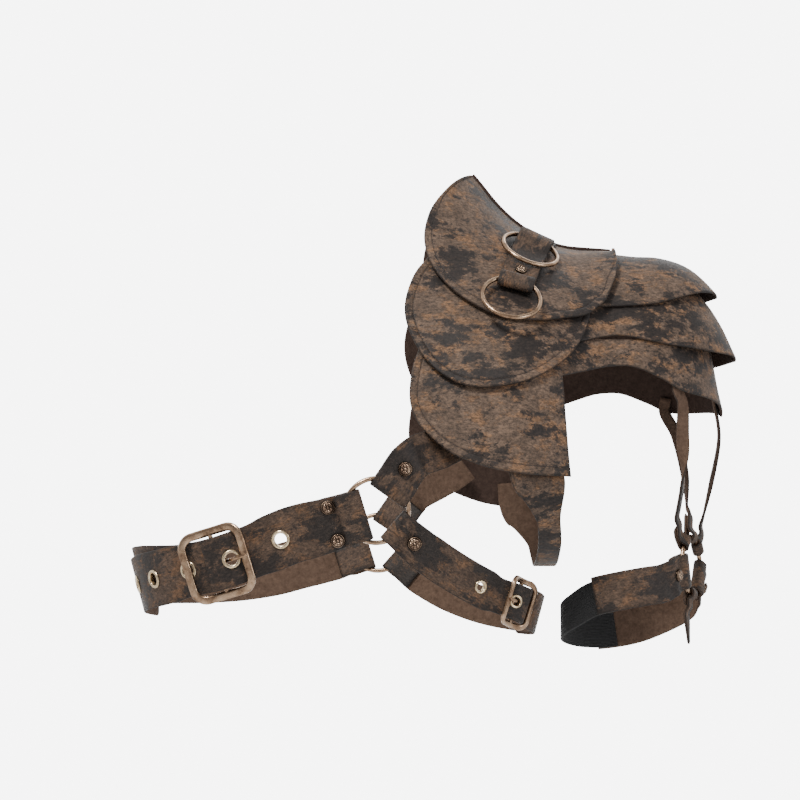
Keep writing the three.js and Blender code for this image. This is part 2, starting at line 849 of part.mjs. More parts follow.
function addRivet(name, track, line, run, across, size = 1) {
  const top = crest(line, run, size * RIVET_RADIUS) + STRAP_LEATHER / 2 + 2 * CLEARANCE;
  const rivet = rivetGeometry.clone().scale(size, size, size);
  addPiece(name, placed(rivet, track, run, across, top), brassFinish());
}

// Belts and their buckles

// How the tongue climbs over the centre bar: shares of the frame's half length and of the climb.
const TONGUE_CLIMB = [
  ["run", "rise"],
  [-1.4, 0],
  [-1.1, 0.04],
  [-0.92, 0.13],
  [-0.76, 0.32],
  [-0.58, 0.64],
  [-0.42, 0.86],
  [-0.22, 0.97],
  [0, 1],
];
const BAR_CLEAR = 4.5;

const barFold = (tail) =>
  foldedEnd(CENTRE_BAR, -turnRadius(CENTRE_BAR) - STRAP_LEATHER / 2, BAR_CLEAR, tail, tail / 2);
const overBar = wireHeight(CENTRE_BAR) + turnRadius(CENTRE_BAR);
const tongueTop = overBar + STRAP_LEATHER + 4 * CLEARANCE;

// The tongue's line near a buckle, in runs from the centre bar.
function tongueLine(length, tail) {
  const climb = TONGUE_CLIMB.slice(1).map(([run, rise]) => [
    (run * length) / 2,
    mix(layerHeight(0), tongueTop, rise),
  ]);
  const beyond = barFold(tail).slice(6).map(([run, height], i) => [
    run + (i < 3 ? 2 : 0),
    height + STRAP_LEATHER + 4 * CLEARANCE,
  ]);
  return [...climb, ...beyond];
}

const BELTS = [
  {
    name: "belt",
    way: [-0.953, -0.302],
    route: BELT_ROUTE,
    underRoute: UNDER_BELT_ROUTE,
    lowest: BELT_DROP,
    buckleStop: 2,
    width: BELT_WIDTH,
    foldWidth: BELT_FOLD_WIDTH,
    tail: 40,
    barTail: 12,
    holeShare: 0.45,
    rivets: [
      [BELT_STITCH_RUN, BELT_RIVET_SPREAD],
      [BELT_STITCH_RUN, -BELT_RIVET_SPREAD],
    ],
    hole: EYELET_HOLE,
    rim: EYELET_RIM,
    pitch: EYELET_PITCH,
    eyelets: [-1, 0, 1, 2, 3],
    buckle: {
      length: BUCKLE_LENGTH,
      width: BUCKLE_WIDTH,
      bar: BUCKLE_BAR,
      thick: BUCKLE_THICK,
      bend: BUCKLE_BEND,
    },
  },
  {
    name: "side_strap",
    way: [0.766, -0.642],
    route: SIDE_ROUTE,
    underRoute: UNDER_SIDE_ROUTE,
    lowest: SIDE_DROP,
    buckleStop: 2,
    width: SIDE_WIDTH,
    foldWidth: 29,
    tail: 47,
    barTail: 8,
    holeShare: 0.38,
    rivets: [[STRAP_RIVET_RUN, 0]],
    hole: SMALL_EYELET_HOLE,
    rim: SMALL_EYELET_RIM,
    pitch: SIDE_EYELET_PITCH,
    eyelets: [-1, 0],
    buckle: {
      length: SMALL_BUCKLE_LENGTH,
      width: SMALL_BUCKLE_WIDTH,
      bar: SMALL_BUCKLE_BAR,
      thick: SMALL_BUCKLE_THICK,
      bend: SMALL_BUCKLE_BEND,
    },
  },
];

for (const belt of BELTS) {
  const starts = ringStops(...belt.way, CHEST_RING_STARTS);
  const front = makeTrack([...starts, ...routeStops(belt.route, belt.lowest)]);
  const under = routeStops(belt.underRoute, belt.lowest).reverse();
  const back = makeTrack([...mirrored(starts, 1), ...under]);
  const barPoint = routeStops(belt.route, belt.lowest)[belt.buckleStop].point;
  const bar = front.nearest(barPoint);
  const backBar = back.nearest(barPoint);
  const ringFold = foldedEnd(
    RING_WIRE,
    foldAt(CHEST_RING_RADIUS, belt.foldWidth),
    ringEnd(CHEST_RING_RADIUS),
    belt.tail,
  );
  const flatFrom = belt.tail + 12;
  const round = tongueLine(belt.buckle.length, belt.barTail).map(([run, height]) => [bar + run, height]);
  const beyond = round[round.length - 1];
  const tongue = [
    ...ringFold,
    ...flatRuns(flatFrom, round[0][0] - 8, 16, layerHeight(0)),
    ...round,
    ...flatRuns(beyond[0], front.length - 4, 16, beyond[1]),
    [front.length, beyond[1]],
  ];
  const within = belt.buckle.width - 2 * belt.buckle.bar - 10 * CLEARANCE;
  const half = belt.buckle.length / 2;
  const widthAt = (run) => {
    const full = mix(belt.foldWidth, belt.width, smooth(run, 20, 60));
    const free = mix(within, full, smooth(Math.abs(run - bar), half, 1.6 * half));
    return free * mix(1, 0.45, smooth(run, front.length - 16, front.length));
  };
  const backWidth = (run) => {
    const full = mix(belt.foldWidth, belt.width, smooth(run, 20, 60));
    return mix(full, within, smooth(run, backBar - 60, backBar - 30));
  };
  const holeHeight = mix(layerHeight(0), tongueTop, lookUp(TONGUE_CLIMB, "rise", -belt.holeShare));
  const holeRun = (belt.holeShare * belt.buckle.length) / 2;
  const rowHeights = [["run", "height"], ...tongue.slice(6)];
  const holes = belt.eyelets.map((k) => {
    const run = bar - holeRun + k * belt.pitch;
    const step = belt.rim * 0.7;
    const height = lookUp(rowHeights, "height", run);
    const rise = lookUp(rowHeights, "height", run + step) - lookUp(rowHeights, "height", run - step);
    return { run, height, tilt: -Math.atan2(rise, 2 * step) };
  });
  const cutters = holes.map(({ run, height, tilt }) =>
    placed(eyeletCutter(belt.hole), front, run, 0, height, tilt),
  );
  addPiece(`${belt.name}_tongue`, cut(strap(front, tongue, widthAt), cutters), leatherFinish());
  holes.forEach(({ run, height, tilt }, i) => {
    const eyelet = eyeletGeometry(belt.hole, belt.rim).translate(0, 0, STRAP_LEATHER / 2 + 3 * CLEARANCE);
    addPiece(`${belt.name}_eyelet_${i + 1}`, placed(eyelet, front, run, 0, height, tilt), brassFinish());
  });

  const barEnd = barFold(belt.barTail).reverse().map(([run, height]) => [backBar - run, height]);
  const carrying = [
    ...ringFold,
    ...flatRuns(flatFrom, barEnd[0][0] - 8, 20, layerHeight(0)),
    ...barEnd,
  ];
  const slot = placed(prongSlot(), back, backBar, 0, wireHeight(CENTRE_BAR));
  addPiece(`${belt.name}_back`, cut(strap(back, carrying, backWidth), [slot]), leatherFinish());

  const barHeight = wireHeight(CENTRE_BAR);
  addPiece(
    `${belt.name}_buckle_frame`,
    placed(buckleFrame(belt.buckle), front, bar, 0, barHeight),
    brassFinish(),
  );
  const below = tongueTop - STRAP_LEATHER / 2 - PRONG - 3 * CLEARANCE - barHeight;
  const rising = [
    [holeRun - belt.hole * 0.8, below - 0.8],
    [holeRun, holeHeight - barHeight],
    [holeRun + belt.rim * 0.8, holeHeight - barHeight + STRAP_LEATHER / 2 + EYELET_HEIGHT],
  ];
  const prong = prongGeometry(belt.buckle, rising).rotateZ(Math.PI);
  addPiece(`${belt.name}_buckle_prong`, placed(prong, front, bar, 0, barHeight), brassFinish());

  const tracks = { front, back };
  for (const { label } of SIDES)
    belt.rivets.forEach(([run, across], i) =>
      addRivet(`${belt.name}_rivet_${label}_${i + 1}`, tracks[label], ringFold, run, across),
    );
}

// Straps up to the lower plates
const UP_TAIL = 47;
const UP_SETBACK = 11.5;
for (const { side, label } of SIDES) {
  const lowerPlate = PANELS.lower_plate;
  const under = [
    [0.5, 0.98],
    [0.53, 0.86],
    [0.57, 0.7],
  ].map(([u, v]) => panelSeat(lowerPlate, u, v, -1, -STRAP_LEATHER - UP_SETBACK));
  const stops = [...ringStops(0.573, 0.819, CHEST_RING_STARTS), ...under];
  const track = makeTrack(mirrored(stops, side));
  const line = [
    ...foldedEnd(RING_WIRE, foldAt(CHEST_RING_RADIUS, UP_WIDTH), ringEnd(CHEST_RING_RADIUS), UP_TAIL),
    ...flatRuns(UP_TAIL + 12, track.length, 10, layerHeight(0)),
  ];
  addPiece(`up_strap_${label}`, strap(track, line, () => UP_WIDTH), leatherFinish());
  addRivet(`up_strap_rivet_${label}`, track, line, STRAP_RIVET_RUN, 0);
}

// Underarm strap, one band round the armpit
const UNDERARM_SETBACK = 7;
const UNDERARM_TURN = 0.16;
const UNDERARM_NARROWING = [14, 68];
const UNDERARM_ROUTE = [
  ["across", "fore", "drop", "turn"],
  [-0.167, 0.915, 0.79, 0.2],
  [-0.0625, 0.82, 0.87, 0.1],
  [0, 0.62, 0.95, 0],
  [0, 0.33, 0.99, 0],
  [0, 0, 1, 0],
];
{
  const seated = [
    [0.86, 0.8],
    [0.87, 0.97],
  ].map(([u, v]) => {
    const { point, normal } = panelSeat(PANELS.lower_plate, u, v, -1, -STRAP_LEATHER - UNDERARM_SETBACK);
    return { point, normal: normal.add(vector(UNDERARM_TURN, 0, 0)).normalize() };
  });
  const free = UNDERARM_ROUTE.slice(1).map(([across, fore, drop, turn]) => ({
    point: vector(
      UNDERARM_X + across * UNDERARM_WIDTH,
      -fore * SHOULDER_REACH,
      -drop * UNDERARM_DROP,
    ),
    normal: vector(turn, -fore, -(1 - fore)).normalize(),
  }));
  const half = [...seated, ...free];
  const track = makeTrack([...half, ...mirrored(half.slice(0, -1), 1).reverse()]);
  const middle = track.length / 2;
  const runs = 28;
  const line = Array.from({ length: runs + 1 }, (_, i) => [(i / runs) * track.length, layerHeight(0)]);
  const widthAt = (run) =>
    mix(UNDERARM_WIDTH, UNDERARM_NARROW, smooth(middle - Math.abs(run - middle), ...UNDERARM_NARROWING));
  addPiece("underarm_strap", strap(track, line, widthAt), leatherFinish());
}

// Ring strap over the ridge, with two rings
const RING_STRAP_SHARES = [0.74, 0.695];
const UPPER_RING_RUN = 34;
const LOWER_RING_CENTRE = 130;
const RING_STRAP_STAND = 2.3;
const UPPER_RING_LIFT = 4;
const UPPER_RING_FRONT_LIFT = 6.4;
const LOWER_RING_FRONT_LIFT = 6.5;
{
  const plate = PANELS.top_plate;
  const stops = [0.02, 0.12, 0.24, 0.36, 0.48, 0.6, 0.72, 0.84, 0.96].map((v) =>
    panelSeat(plate, mix(...RING_STRAP_SHARES, v), v, -1, PANEL_LEATHER + RING_STRAP_STAND),
  );
  const track = makeTrack(stops);
  const over = UPPER_RING_LIFT + RING_WIRE + CLEARANCE + STRAP_LEATHER / 2;
  const sag = PLATE_RING_RADIUS - Math.sqrt(PLATE_RING_RADIUS ** 2 - (RING_STRAP_WIDTH / 2) ** 2);
  const upperEnd = UPPER_RING_RUN + sag + RING_WIRE + 2;
  const lowerEnd = foldedEnd(
    RING_WIRE,
    foldAt(PLATE_RING_RADIUS, RING_STRAP_WIDTH),
    ringEnd(PLATE_RING_RADIUS),
    ringEnd(PLATE_RING_RADIUS) + 2,
    2.5,
  )
    .reverse()
    .map(([run, height]) => [LOWER_RING_CENTRE - run, height]);
  const line = [
    [1, layerHeight(0)],
    [UPPER_RING_RUN - 7, layerHeight(0)],
    [UPPER_RING_RUN - 3, over],
    [upperEnd, over],
    [upperEnd + 8, layerHeight(0) + 1],
    [upperEnd + 16, layerHeight(0)],
    ...flatRuns(upperEnd + 16, lowerEnd[0][0] - 3, 10, layerHeight(0)),
    ...lowerEnd,
  ];
  addPiece("ring_strap", strap(track, line, () => RING_STRAP_WIDTH), leatherFinish());
  addRivet("ring_strap_rivet_1", track, line, UPPER_RING_RUN - 12, 0, SMALL_RIVET);
  addRivet("ring_strap_rivet_2", track, line, (upperEnd + 16 + lowerEnd[0][0]) / 2 + 12, 0, SMALL_RIVET);

  // A ring whose upper and lower arcs cross the track at two heights.
  const layRing = (name, upperRun, upperLift, lowerLift) => {
    const upper = track.place(upperRun, 0, upperLift);
    let lowerRun = upperRun + 2 * PLATE_RING_RADIUS;
    for (let k = 0; k < 8; k++) {
      const span = track.place(lowerRun, 0, lowerLift).point.distanceTo(upper.point);
      lowerRun += 2 * PLATE_RING_RADIUS - span;
    }
    const lower = track.place(lowerRun, 0, lowerLift).point;
    const way = lower.clone().sub(upper.point).normalize();
    const sideways = upper.sideways.clone().addScaledVector(way, -upper.sideways.dot(way)).normalize();
    const basis = new THREE.Matrix4().makeBasis(way, sideways, way.clone().cross(sideways));
    const ring = new THREE.Mesh(ringGeometry(PLATE_RING_RADIUS), brassFinish());
    ring.name = name;
    ring.applyMatrix4(basis.setPosition(lower.add(upper.point).multiplyScalar(0.5)));
    pauldron.add(ring);
  };
  layRing("ring_upper", UPPER_RING_RUN, UPPER_RING_LIFT, UPPER_RING_FRONT_LIFT);
  layRing(
    "ring_lower",
    LOWER_RING_CENTRE - PLATE_RING_RADIUS,
    wireHeight(RING_WIRE),
    LOWER_RING_FRONT_LIFT,
  );
}

// Arm band: leather in front and behind, elastic at the inner arm, a ring at the outer arm
const armTurn = THREE.MathUtils.degToRad(ARM_RING_TURN);
const armRingOut = vector(Math.cos(armTurn), -Math.sin(armTurn), 0);
const armRingFront = vector(-Math.sin(armTurn), -Math.cos(armTurn), 0);
const armRingCentre = vector(ARM_RING_X, 0, -ARM_RING_DROP);

// A stop on the arm at an angle from its front, its place down as a share of the band's fall.
function armStop(angle, fall, lift) {
  const turn = THREE.MathUtils.degToRad(angle);
  const normal = vector(Math.sin(turn), -Math.cos(turn), 0);
  const axis = vector(ARM_X, 0, -ARM_RING_DROP - fall * ARM_BAND_FALL);
  return { point: axis.addScaledVector(normal, ARM_RADIUS + lift), normal };
}

// A place beside the arm, in arm radii from its axis and a share of the way down to the arm ring.
const besideArm = (out, back, down) =>
  vector(ARM_X + out * ARM_RADIUS, back * ARM_RADIUS, -down * ARM_RING_DROP);

// Stops from the arm ring's middle outwards, at degrees from its top towards the front.
function armRingStops(angle, runs) {
  const turn = THREE.MathUtils.degToRad(angle);
  const way = armRingFront.clone().multiplyScalar(Math.sin(turn)).add(vector(0, 0, Math.cos(turn)));
  return runs.map((run) => ({
    point: armRingCentre
      .clone()
      .addScaledVector(armRingOut, -wireHeight(RING_WIRE))
      .addScaledVector(way, run),
    normal: armRingOut,
  }));
}

{
  const basis = new THREE.Matrix4().makeBasis(vector(0, 0, 1), armRingFront, armRingOut);
  const ring = new THREE.Mesh(ringGeometry(ARM_RING_RADIUS), brassFinish());
  ring.name = "arm_ring";
  ring.applyMatrix4(basis.setPosition(armRingCentre));
  pauldron.add(ring);

  const overElastic = BAND_ELASTIC + 2 * CLEARANCE;
  const widthAt = narrowing(ARM_BAND_WIDTH - 4, ARM_BAND_WIDTH, 18, 40);
  const front = makeTrack([
    ...armRingStops(108, [0, 22, 36]),
    armStop(38, 0.358, overElastic),
    armStop(20, 0.417, overElastic),
    armStop(2, 0.477, overElastic),
    armStop(-12, 0.523, overElastic),
    armStop(-21, 0.552, overElastic),
    armStop(-29, 0.579, overElastic),
  ]);
  const back = makeTrack([
    ...armRingStops(-115, [0, 22, 36]),
    { point: besideArm(1.106, 0.88, 1.1179), normal: vector(0.65, 0.76, 0) },
    armStop(150, 0.829, overElastic),
    armStop(168, 0.917, overElastic),
    armStop(182, 0.963, overElastic),
    armStop(192, 0.987, overElastic),
    armStop(200, 1.002, overElastic),
  ]);
  for (const [label, track] of Object.entries({ front, back })) {
    const line = [
      ...foldedEnd(
        RING_WIRE,
        foldAt(ARM_RING_RADIUS, ARM_BAND_WIDTH - 4),
        ringEnd(ARM_RING_RADIUS),
        ARM_BAND_TAIL,
        6,
      ),
      ...flatRuns(ARM_BAND_TAIL + 8, track.length, 10, layerHeight(0)),
    ];
    addPiece(`arm_band_${label}`, strap(track, line, widthAt), leatherFinish());
    addRivet(`arm_band_rivet_${label}`, track, line, ARM_RIVET_RUN, 0, 0.9);
  }
  const loop = makeTrack([
    armStop(-14, 0.531, 0),
    armStop(-34, 0.637, 0),
    armStop(-52, 0.762, 0),
    armStop(-72, 0.858, 0),
    armStop(-92, 0.915, 0),
    armStop(-115, 0.963, 0),
    armStop(-140, 1.002, 0),
    armStop(-165, 1.002, 0),
    armStop(-178, 0.973, 0),
  ]);
  const line = [[0, BAND_ELASTIC / 2], ...flatRuns(0, loop.length, 9, BAND_ELASTIC / 2)];
  addPiece("arm_elastic", strap(loop, line, () => ARM_BAND_WIDTH - 3, BAND_ELASTIC), elasticFinish());
}

// Hanging straps from the lowest lame to the arm ring
function underLame(u, v, side, twisted) {
  const lift = twisted ? -4 * CLEARANCE : -4 * CLEARANCE - STRAP_LEATHER;
  const { point, normal } = panelSeat(PANELS.shoulder_lame_3, u, v, side, lift);
  return { point, normal: twisted ? normal.negate() : normal };
}
const HANGERS = [
  {
    name: "hanger_front",
    angle: 45,
    middle: [
      { point: besideArm(0.956, -0.8, 0.7371), normal: vector(0.95, -0.3, 0) },
      { point: besideArm(0.976, -1.04, 0.5751), normal: vector(-0.1, 0.99, 0.1) },
      { point: besideArm(0.976, -1.16, 0.4698), normal: vector(-0.6, 0.75, 0.1) },
    ],
    lame: [underLame(0.64, 0.97, -1, true), underLame(0.64, 0.78, -1, true)],
  },
  {
    name: "hanger_outer",
    angle: -48,
    middle: [
      { point: besideArm(1.546, 0.32, 0.7088), normal: vector(0.99, 0.1, 0) },
      { point: besideArm(1.666, 0.1, 0.5589), normal: vector(1, 0, 0) },
    ],
    lame: [underLame(1, 0.95, -1, false), underLame(1, 0.72, -1, false)],
  },
  {
    name: "hanger_back",
    angle: -2,
    middle: [
      { point: besideArm(1.126, 0.48, 0.6966), normal: vector(0.9, 0.4, 0) },
      { point: besideArm(1.006, 0.88, 0.5265), normal: vector(0.75, 0.65, 0) },
    ],
    lame: [underLame(0.64, 0.97, 1, false), underLame(0.64, 0.78, 1, false)],
  },
];
for (const { name, angle, middle, lame } of HANGERS) {
  const track = makeTrack([...armRingStops(angle, [0, 24, 40]), ...middle, ...lame]);
  const tail = 42;
  const line = [
    ...foldedEnd(RING_WIRE, foldAt(ARM_RING_RADIUS, HANGER_WIDTH), ringEnd(ARM_RING_RADIUS), tail, 6),
    ...flatRuns(tail + 8, track.length, 10, layerHeight(0)),
  ];
  addPiece(name, strap(track, line, () => HANGER_WIDTH), leatherFinish());
}

// A trimmed end that hangs from the arm ring
{
  const track = makeTrack([
    ...armRingStops(176, [0, 24, 40]),
    { point: besideArm(1.1, 0, 1.27), normal: vector(0.9, -0.4, 0) },
  ]);
  const tail = 34;
  const line = [
    ...foldedEnd(RING_WIRE, foldAt(ARM_RING_RADIUS, HANGER_WIDTH), ringEnd(ARM_RING_RADIUS), tail, 4),
    ...flatRuns(tail + 6, track.length, 7, layerHeight(0)),
  ];
  const widthAt = narrowing(HANGER_WIDTH, HANGER_WIDTH * 0.3, track.length - 22, track.length);
  addPiece("ring_tail", strap(track, line, widthAt), leatherFinish());
}

export default pauldron;
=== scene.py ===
"""A worn leather pauldron: smooth leather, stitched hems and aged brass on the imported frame."""

import math

import bpy
import numpy as np
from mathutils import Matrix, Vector, noise


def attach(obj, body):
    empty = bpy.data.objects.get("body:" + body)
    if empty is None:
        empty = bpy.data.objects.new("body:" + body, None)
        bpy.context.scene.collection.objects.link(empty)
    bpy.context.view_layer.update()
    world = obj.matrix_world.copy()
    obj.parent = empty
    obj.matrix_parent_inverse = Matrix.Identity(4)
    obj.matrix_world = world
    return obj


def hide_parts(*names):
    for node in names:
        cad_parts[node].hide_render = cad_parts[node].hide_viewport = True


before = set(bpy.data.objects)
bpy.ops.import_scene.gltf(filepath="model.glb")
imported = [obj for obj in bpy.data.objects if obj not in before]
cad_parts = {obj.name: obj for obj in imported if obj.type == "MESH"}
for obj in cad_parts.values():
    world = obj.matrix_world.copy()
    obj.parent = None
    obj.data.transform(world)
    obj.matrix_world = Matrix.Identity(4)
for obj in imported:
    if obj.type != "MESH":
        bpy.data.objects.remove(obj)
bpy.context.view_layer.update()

MM = 0.001
SIDES = ((-1, "front"), (1, "back"))

# Leather and clearances, in millimetres as in the solids
PANEL_LEATHER = 2.5
STRAP_LEATHER = 2.4
BAND_ELASTIC = 1.6
CLEARANCE = 0.3
PANEL_CLEARANCE = 0.7
SEAM_GAP = 0.5

# The shoulder form
SHOULDER_REACH = 124
SHOULDER_DROP = 230
NECK_RUN = 175
NECK_RISE = 128
OUTER_REACH = 84
RIDGE_TOP = 11
POLE_X = 10
HEM_FLARE = 2
SEAM_RISE = 3
RIDGE_BLEND = 0.16
PLATE_END_LIFT = 3.2
LAME_FLARES = {"shoulder_lame_1": (13, 2), "shoulder_lame_2": (19, 1.4), "shoulder_lame_3": (8, 2)}

SECTION = {
    "down": [0, 0.1, 0.2, 0.3, 0.4, 0.5, 0.6, 0.72, 0.86, 1],
    "reach": [0, 0.21, 0.4, 0.57, 0.72, 0.84, 0.92, 0.97, 0.995, 1],
    "fall": [0, 0.035, 0.095, 0.17, 0.265, 0.375, 0.495, 0.64, 0.81, 1],
    "outer_reach": [0, 0.22, 0.46, 0.68, 0.84, 0.93, 0.97, 0.99, 1, 1],
    "outer_fall": [0, 0.015, 0.03, 0.075, 0.16, 0.255, 0.36, 0.49, 0.64, 0.8],
    "rise": [1, 0.66, 0.4, 0.21, 0.1, 0.04, 0.015, 0, 0, 0],
}
SPAN = {
    "along": [-1, -0.8, -0.7, -0.625, -0.543, -0.446, -0.343, -0.229, -0.12, -0.04, 0],
    "reach": [0.97, 0.99, 1, 1, 1, 0.98, 0.93, 0.85, 0.77, 0.725, 0.72],
    "rise": [1, 0.672, 0.5, 0.367, 0.25, 0.146, 0.063, 0.016, 0, 0, 0],
}

# Upper edge and hem of each panel: share along the panel, place along the form, place down it
PANELS = {
    "top_plate": {
        "layer": 3,
        "top": [
            (0, -0.728, 0.001), (0.34, -0.66, 0), (0.56, -0.55, 0), (0.7, -0.42, 0),
            (0.84, -0.24, 0), (0.93, -0.1, 0), (1, 0.06, 0.02),
        ],
        "hem": [
            (0, -0.738, 0.012), (0.12, -0.833, 0.105), (0.24, -0.908, 0.19), (0.34, -0.922, 0.26),
            (0.44, -0.864, 0.332), (0.56, -0.72, 0.402), (0.7, -0.53, 0.446), (0.84, -0.29, 0.434),
            (0.92, -0.12, 0.388), (0.965, -0.02, 0.3), (1, 0.11, 0.06),
        ],
    },
    "middle_plate": {
        "layer": 2,
        "top": [(0, -0.84, 0.25), (0.5, -0.6, 0.35), (1, -0.15, 0.3)],
        "hem": [
            (0, -0.885, 0.272), (0.12, -0.972, 0.35), (0.22, -1.007, 0.43), (0.32, -0.975, 0.505),
            (0.42, -0.88, 0.588), (0.54, -0.72, 0.642), (0.66, -0.54, 0.641), (0.78, -0.365, 0.597),
            (0.88, -0.22, 0.513), (0.95, -0.155, 0.43), (1, -0.13, 0.355),
        ],
    },
    "lower_plate": {
        "layer": 1,
        "top": [(0, -0.88, 0.48), (0.5, -0.62, 0.55), (1, -0.29, 0.49)],
        "hem": [
            (0, -0.925, 0.505), (0.14, -0.972, 0.6), (0.26, -0.981, 0.68), (0.38, -0.94, 0.747),
            (0.52, -0.82, 0.822), (0.66, -0.66, 0.868), (0.8, -0.48, 0.89), (1, -0.252, 0.893),
        ],
    },
    "shoulder_lame_1": {
        "layer": 2,
        "top": [(0, -0.1, 0.02), (1, 1, 0.02)],
        "hem": [
            (0, -0.1, 0.362), (0.25, 0.112, 0.36), (0.5, 0.36, 0.37), (0.75, 0.66, 0.385),
            (1, 1, 0.41),
        ],
    },
    "shoulder_lame_2": {
        "layer": 1,
        "top": [(0, -0.22, 0.34), (1, 1, 0.3)],
        "hem": [
            (0, -0.25, 0.5), (0.17, -0.06, 0.464), (0.3, 0.06, 0.463), (0.45, 0.246, 0.492),
            (0.6, 0.466, 0.539), (0.8, 0.715, 0.59), (1, 1, 0.615),
        ],
    },
    "shoulder_lame_3": {
        "layer": 0,
        "top": [(0, -0.36, 0.46), (1, 1, 0.48)],
        "hem": [
            (0, -0.36, 0.61), (0.15, -0.161, 0.573), (0.27, -0.03, 0.554), (0.4, 0.12, 0.56),
            (0.52, 0.28, 0.606), (0.64, 0.42, 0.662), (0.8, 0.62, 0.715), (1, 1, 0.8),
        ],
    },
}
COLUMN_SHARES = [(0, 0), (0.7, 0.78), (0.85, 0.91), (1, 1)]


def smooth_steps(x, y, at):
    """Reads a table at values of its first column, smoothly between its rows."""
    x = np.asarray(x, float)
    y = np.asarray(y, float)
    at = np.asarray(at, float)
    gap = np.diff(x)
    steep = np.diff(y) / gap
    slope = np.empty(len(x))
    slope[0], slope[-1] = steep[0], steep[-1]
    slope[1:-1] = (steep[1:] * gap[:-1] + steep[:-1] * gap[1:]) / (gap[:-1] + gap[1:])
    i = np.clip(np.searchsorted(x, at, side="right") - 1, 0, len(x) - 2)
    u = (at - x[i]) / gap[i]
    w = 1 - u
    inside = (
        y[i] * (1 + 2 * u) * w * w
        + slope[i] * gap[i] * u * w * w
        + y[i + 1] * u * u * (3 - 2 * u)
        - slope[i + 1] * gap[i] * u * u * w
    )
    before = y[0] + slope[0] * (at - x[0])
    beyond = y[-1] + slope[-1] * (at - x[-1])
    return np.where(at <= x[0], before, np.where(at >= x[-1], beyond, inside))


def read(rows, column, at):
    return smooth_steps([row[0] for row in rows], [row[column] for row in rows], at)


def run_lengths(points):
    """Distances along a line of points, from its first point."""
    return np.concatenate([[0], np.cumsum(np.linalg.norm(np.diff(points, axis=0), axis=1))])


def read_line(at, runs, line):
    """What a line holds at distances along it."""
    return np.stack([np.interp(at, runs, line[:, k]) for k in range(line.shape[1])], axis=-1)


def mix(a, b, share):
    return a + (b - a) * share


def smooth(at, low, high):
    share = np.clip((np.asarray(at, float) - low) / (high - low), 0, 1)
    return share * share * (3 - 2 * share)


def unit(vectors):
    return vectors / np.maximum(np.linalg.norm(vectors, axis=-1, keepdims=True), 1e-12)


def form_point(along, down, side):
    column = lambda name: smooth_steps(SECTION["down"], SECTION[name], down)
    span = lambda name: smooth_steps(SPAN["along"], SPAN[name], np.minimum(along, 0))
    inner = np.minimum(along, 0)
    turn = np.maximum(along, 0) * math.pi / 2
    outer = np.sin(turn) ** 2
    out = SHOULDER_REACH * span("reach") * column("reach") * np.cos(turn)
    x = POLE_X + inner * NECK_RUN + OUTER_REACH * column("outer_reach") * np.sin(turn)
    rise = np.where(along <= 0, NECK_RISE * span("rise") * column("rise"), 0)
    fall = mix(column("fall"), column("outer_fall"), outer)
    return np.stack([x, side * out, RIDGE_TOP - SHOULDER_DROP * fall + rise], axis=-1)


def form_normal(along, down, side, step=0.01):
    low = np.maximum(down, step)
    across = form_point(along + step, low, side) - form_point(along - step, low, side)
    fall = form_point(along, low + step, side) - form_point(along, low - step, side)
    normal = unit(np.cross(across, fall))
    return -normal if side < 0 else normal


def panel_place(name, u, v, side, lift):
    """Points and normals of a panel at shares along and across it, lifted above its inner face."""
    panel = PANELS[name]
    along = mix(read(panel["top"], 1, u), read(panel["hem"], 1, u), v)
    down = mix(read(panel["top"], 2, u), read(panel["hem"], 2, u), v)
    if name in LAME_FLARES:
        size, power = LAME_FLARES[name]
        flare = size * smooth(along, 0.25, 1) * np.maximum(v, 0) ** power
    else:
        flare = HEM_FLARE * np.maximum(v, 0) ** 6
        if name == "top_plate":
            flare = flare + PLATE_END_LIFT * smooth(along, -0.18, 0.02) * smooth(v, 0, 0.35)
        if name == "middle_plate":
            flare = flare * smooth(u, 0.02, 0.1) * smooth(1 - u, 0.03, 0.12)
        if name == "lower_plate":
            flare = flare * smooth(u, 0.03, 0.14)
    rise = SEAM_RISE * (1 - smooth(v, 0, 1 / 6)) if side > 0 and name == "top_plate" else 0
    stand = panel["layer"] * (PANEL_LEATHER + PANEL_CLEARANCE) + flare + rise
    normal = form_normal(along, down, side)
    away = normal.copy()
    away[..., 1] *= smooth(down, -0.02, RIDGE_BLEND)
    point = form_point(along, down, side) + unit(away) * (stand + lift)[..., None]
    point[..., 1] = side * np.maximum(side * point[..., 1], SEAM_GAP / 2)
    return point, normal


# Materials


def add(tree, kind, **values):
    node = tree.nodes.new(kind)
    for name, value in values.items():
        setattr(node, name, value)
    return node


def new_material(name):
    material = bpy.data.materials.new(name)
    material.use_nodes = True
    tree = material.node_tree
    shader = tree.nodes["Principled BSDF"]
    return material, tree, shader


def noise_field(tree, coordinates, stretch, scale, detail, roughness):
    mapping = add(tree, "ShaderNodeMapping")
    mapping.inputs["Scale"].default_value = stretch
    tree.links.new(coordinates, mapping.inputs["Vector"])
    field = add(tree, "ShaderNodeTexNoise")
    field.inputs["Scale"].default_value = scale
    field.inputs["Detail"].default_value = detail
    field.inputs["Roughness"].default_value = roughness
    tree.links.new(mapping.outputs["Vector"], field.inputs["Vector"])
    return field.outputs["Fac"]


def ramp(tree, factor, stops):
    node = add(tree, "ShaderNodeValToRGB")
    elements = node.color_ramp.elements
    elements[0].position, elements[0].color = stops[0][0], (*stops[0][1], 1)
    elements[1].position, elements[1].color = stops[-1][0], (*stops[-1][1], 1)
    for position, colour in stops[1:-1]:
        elements.new(position).color = (*colour, 1)
    tree.links.new(factor, node.inputs["Fac"])
    return node.outputs["Color"]


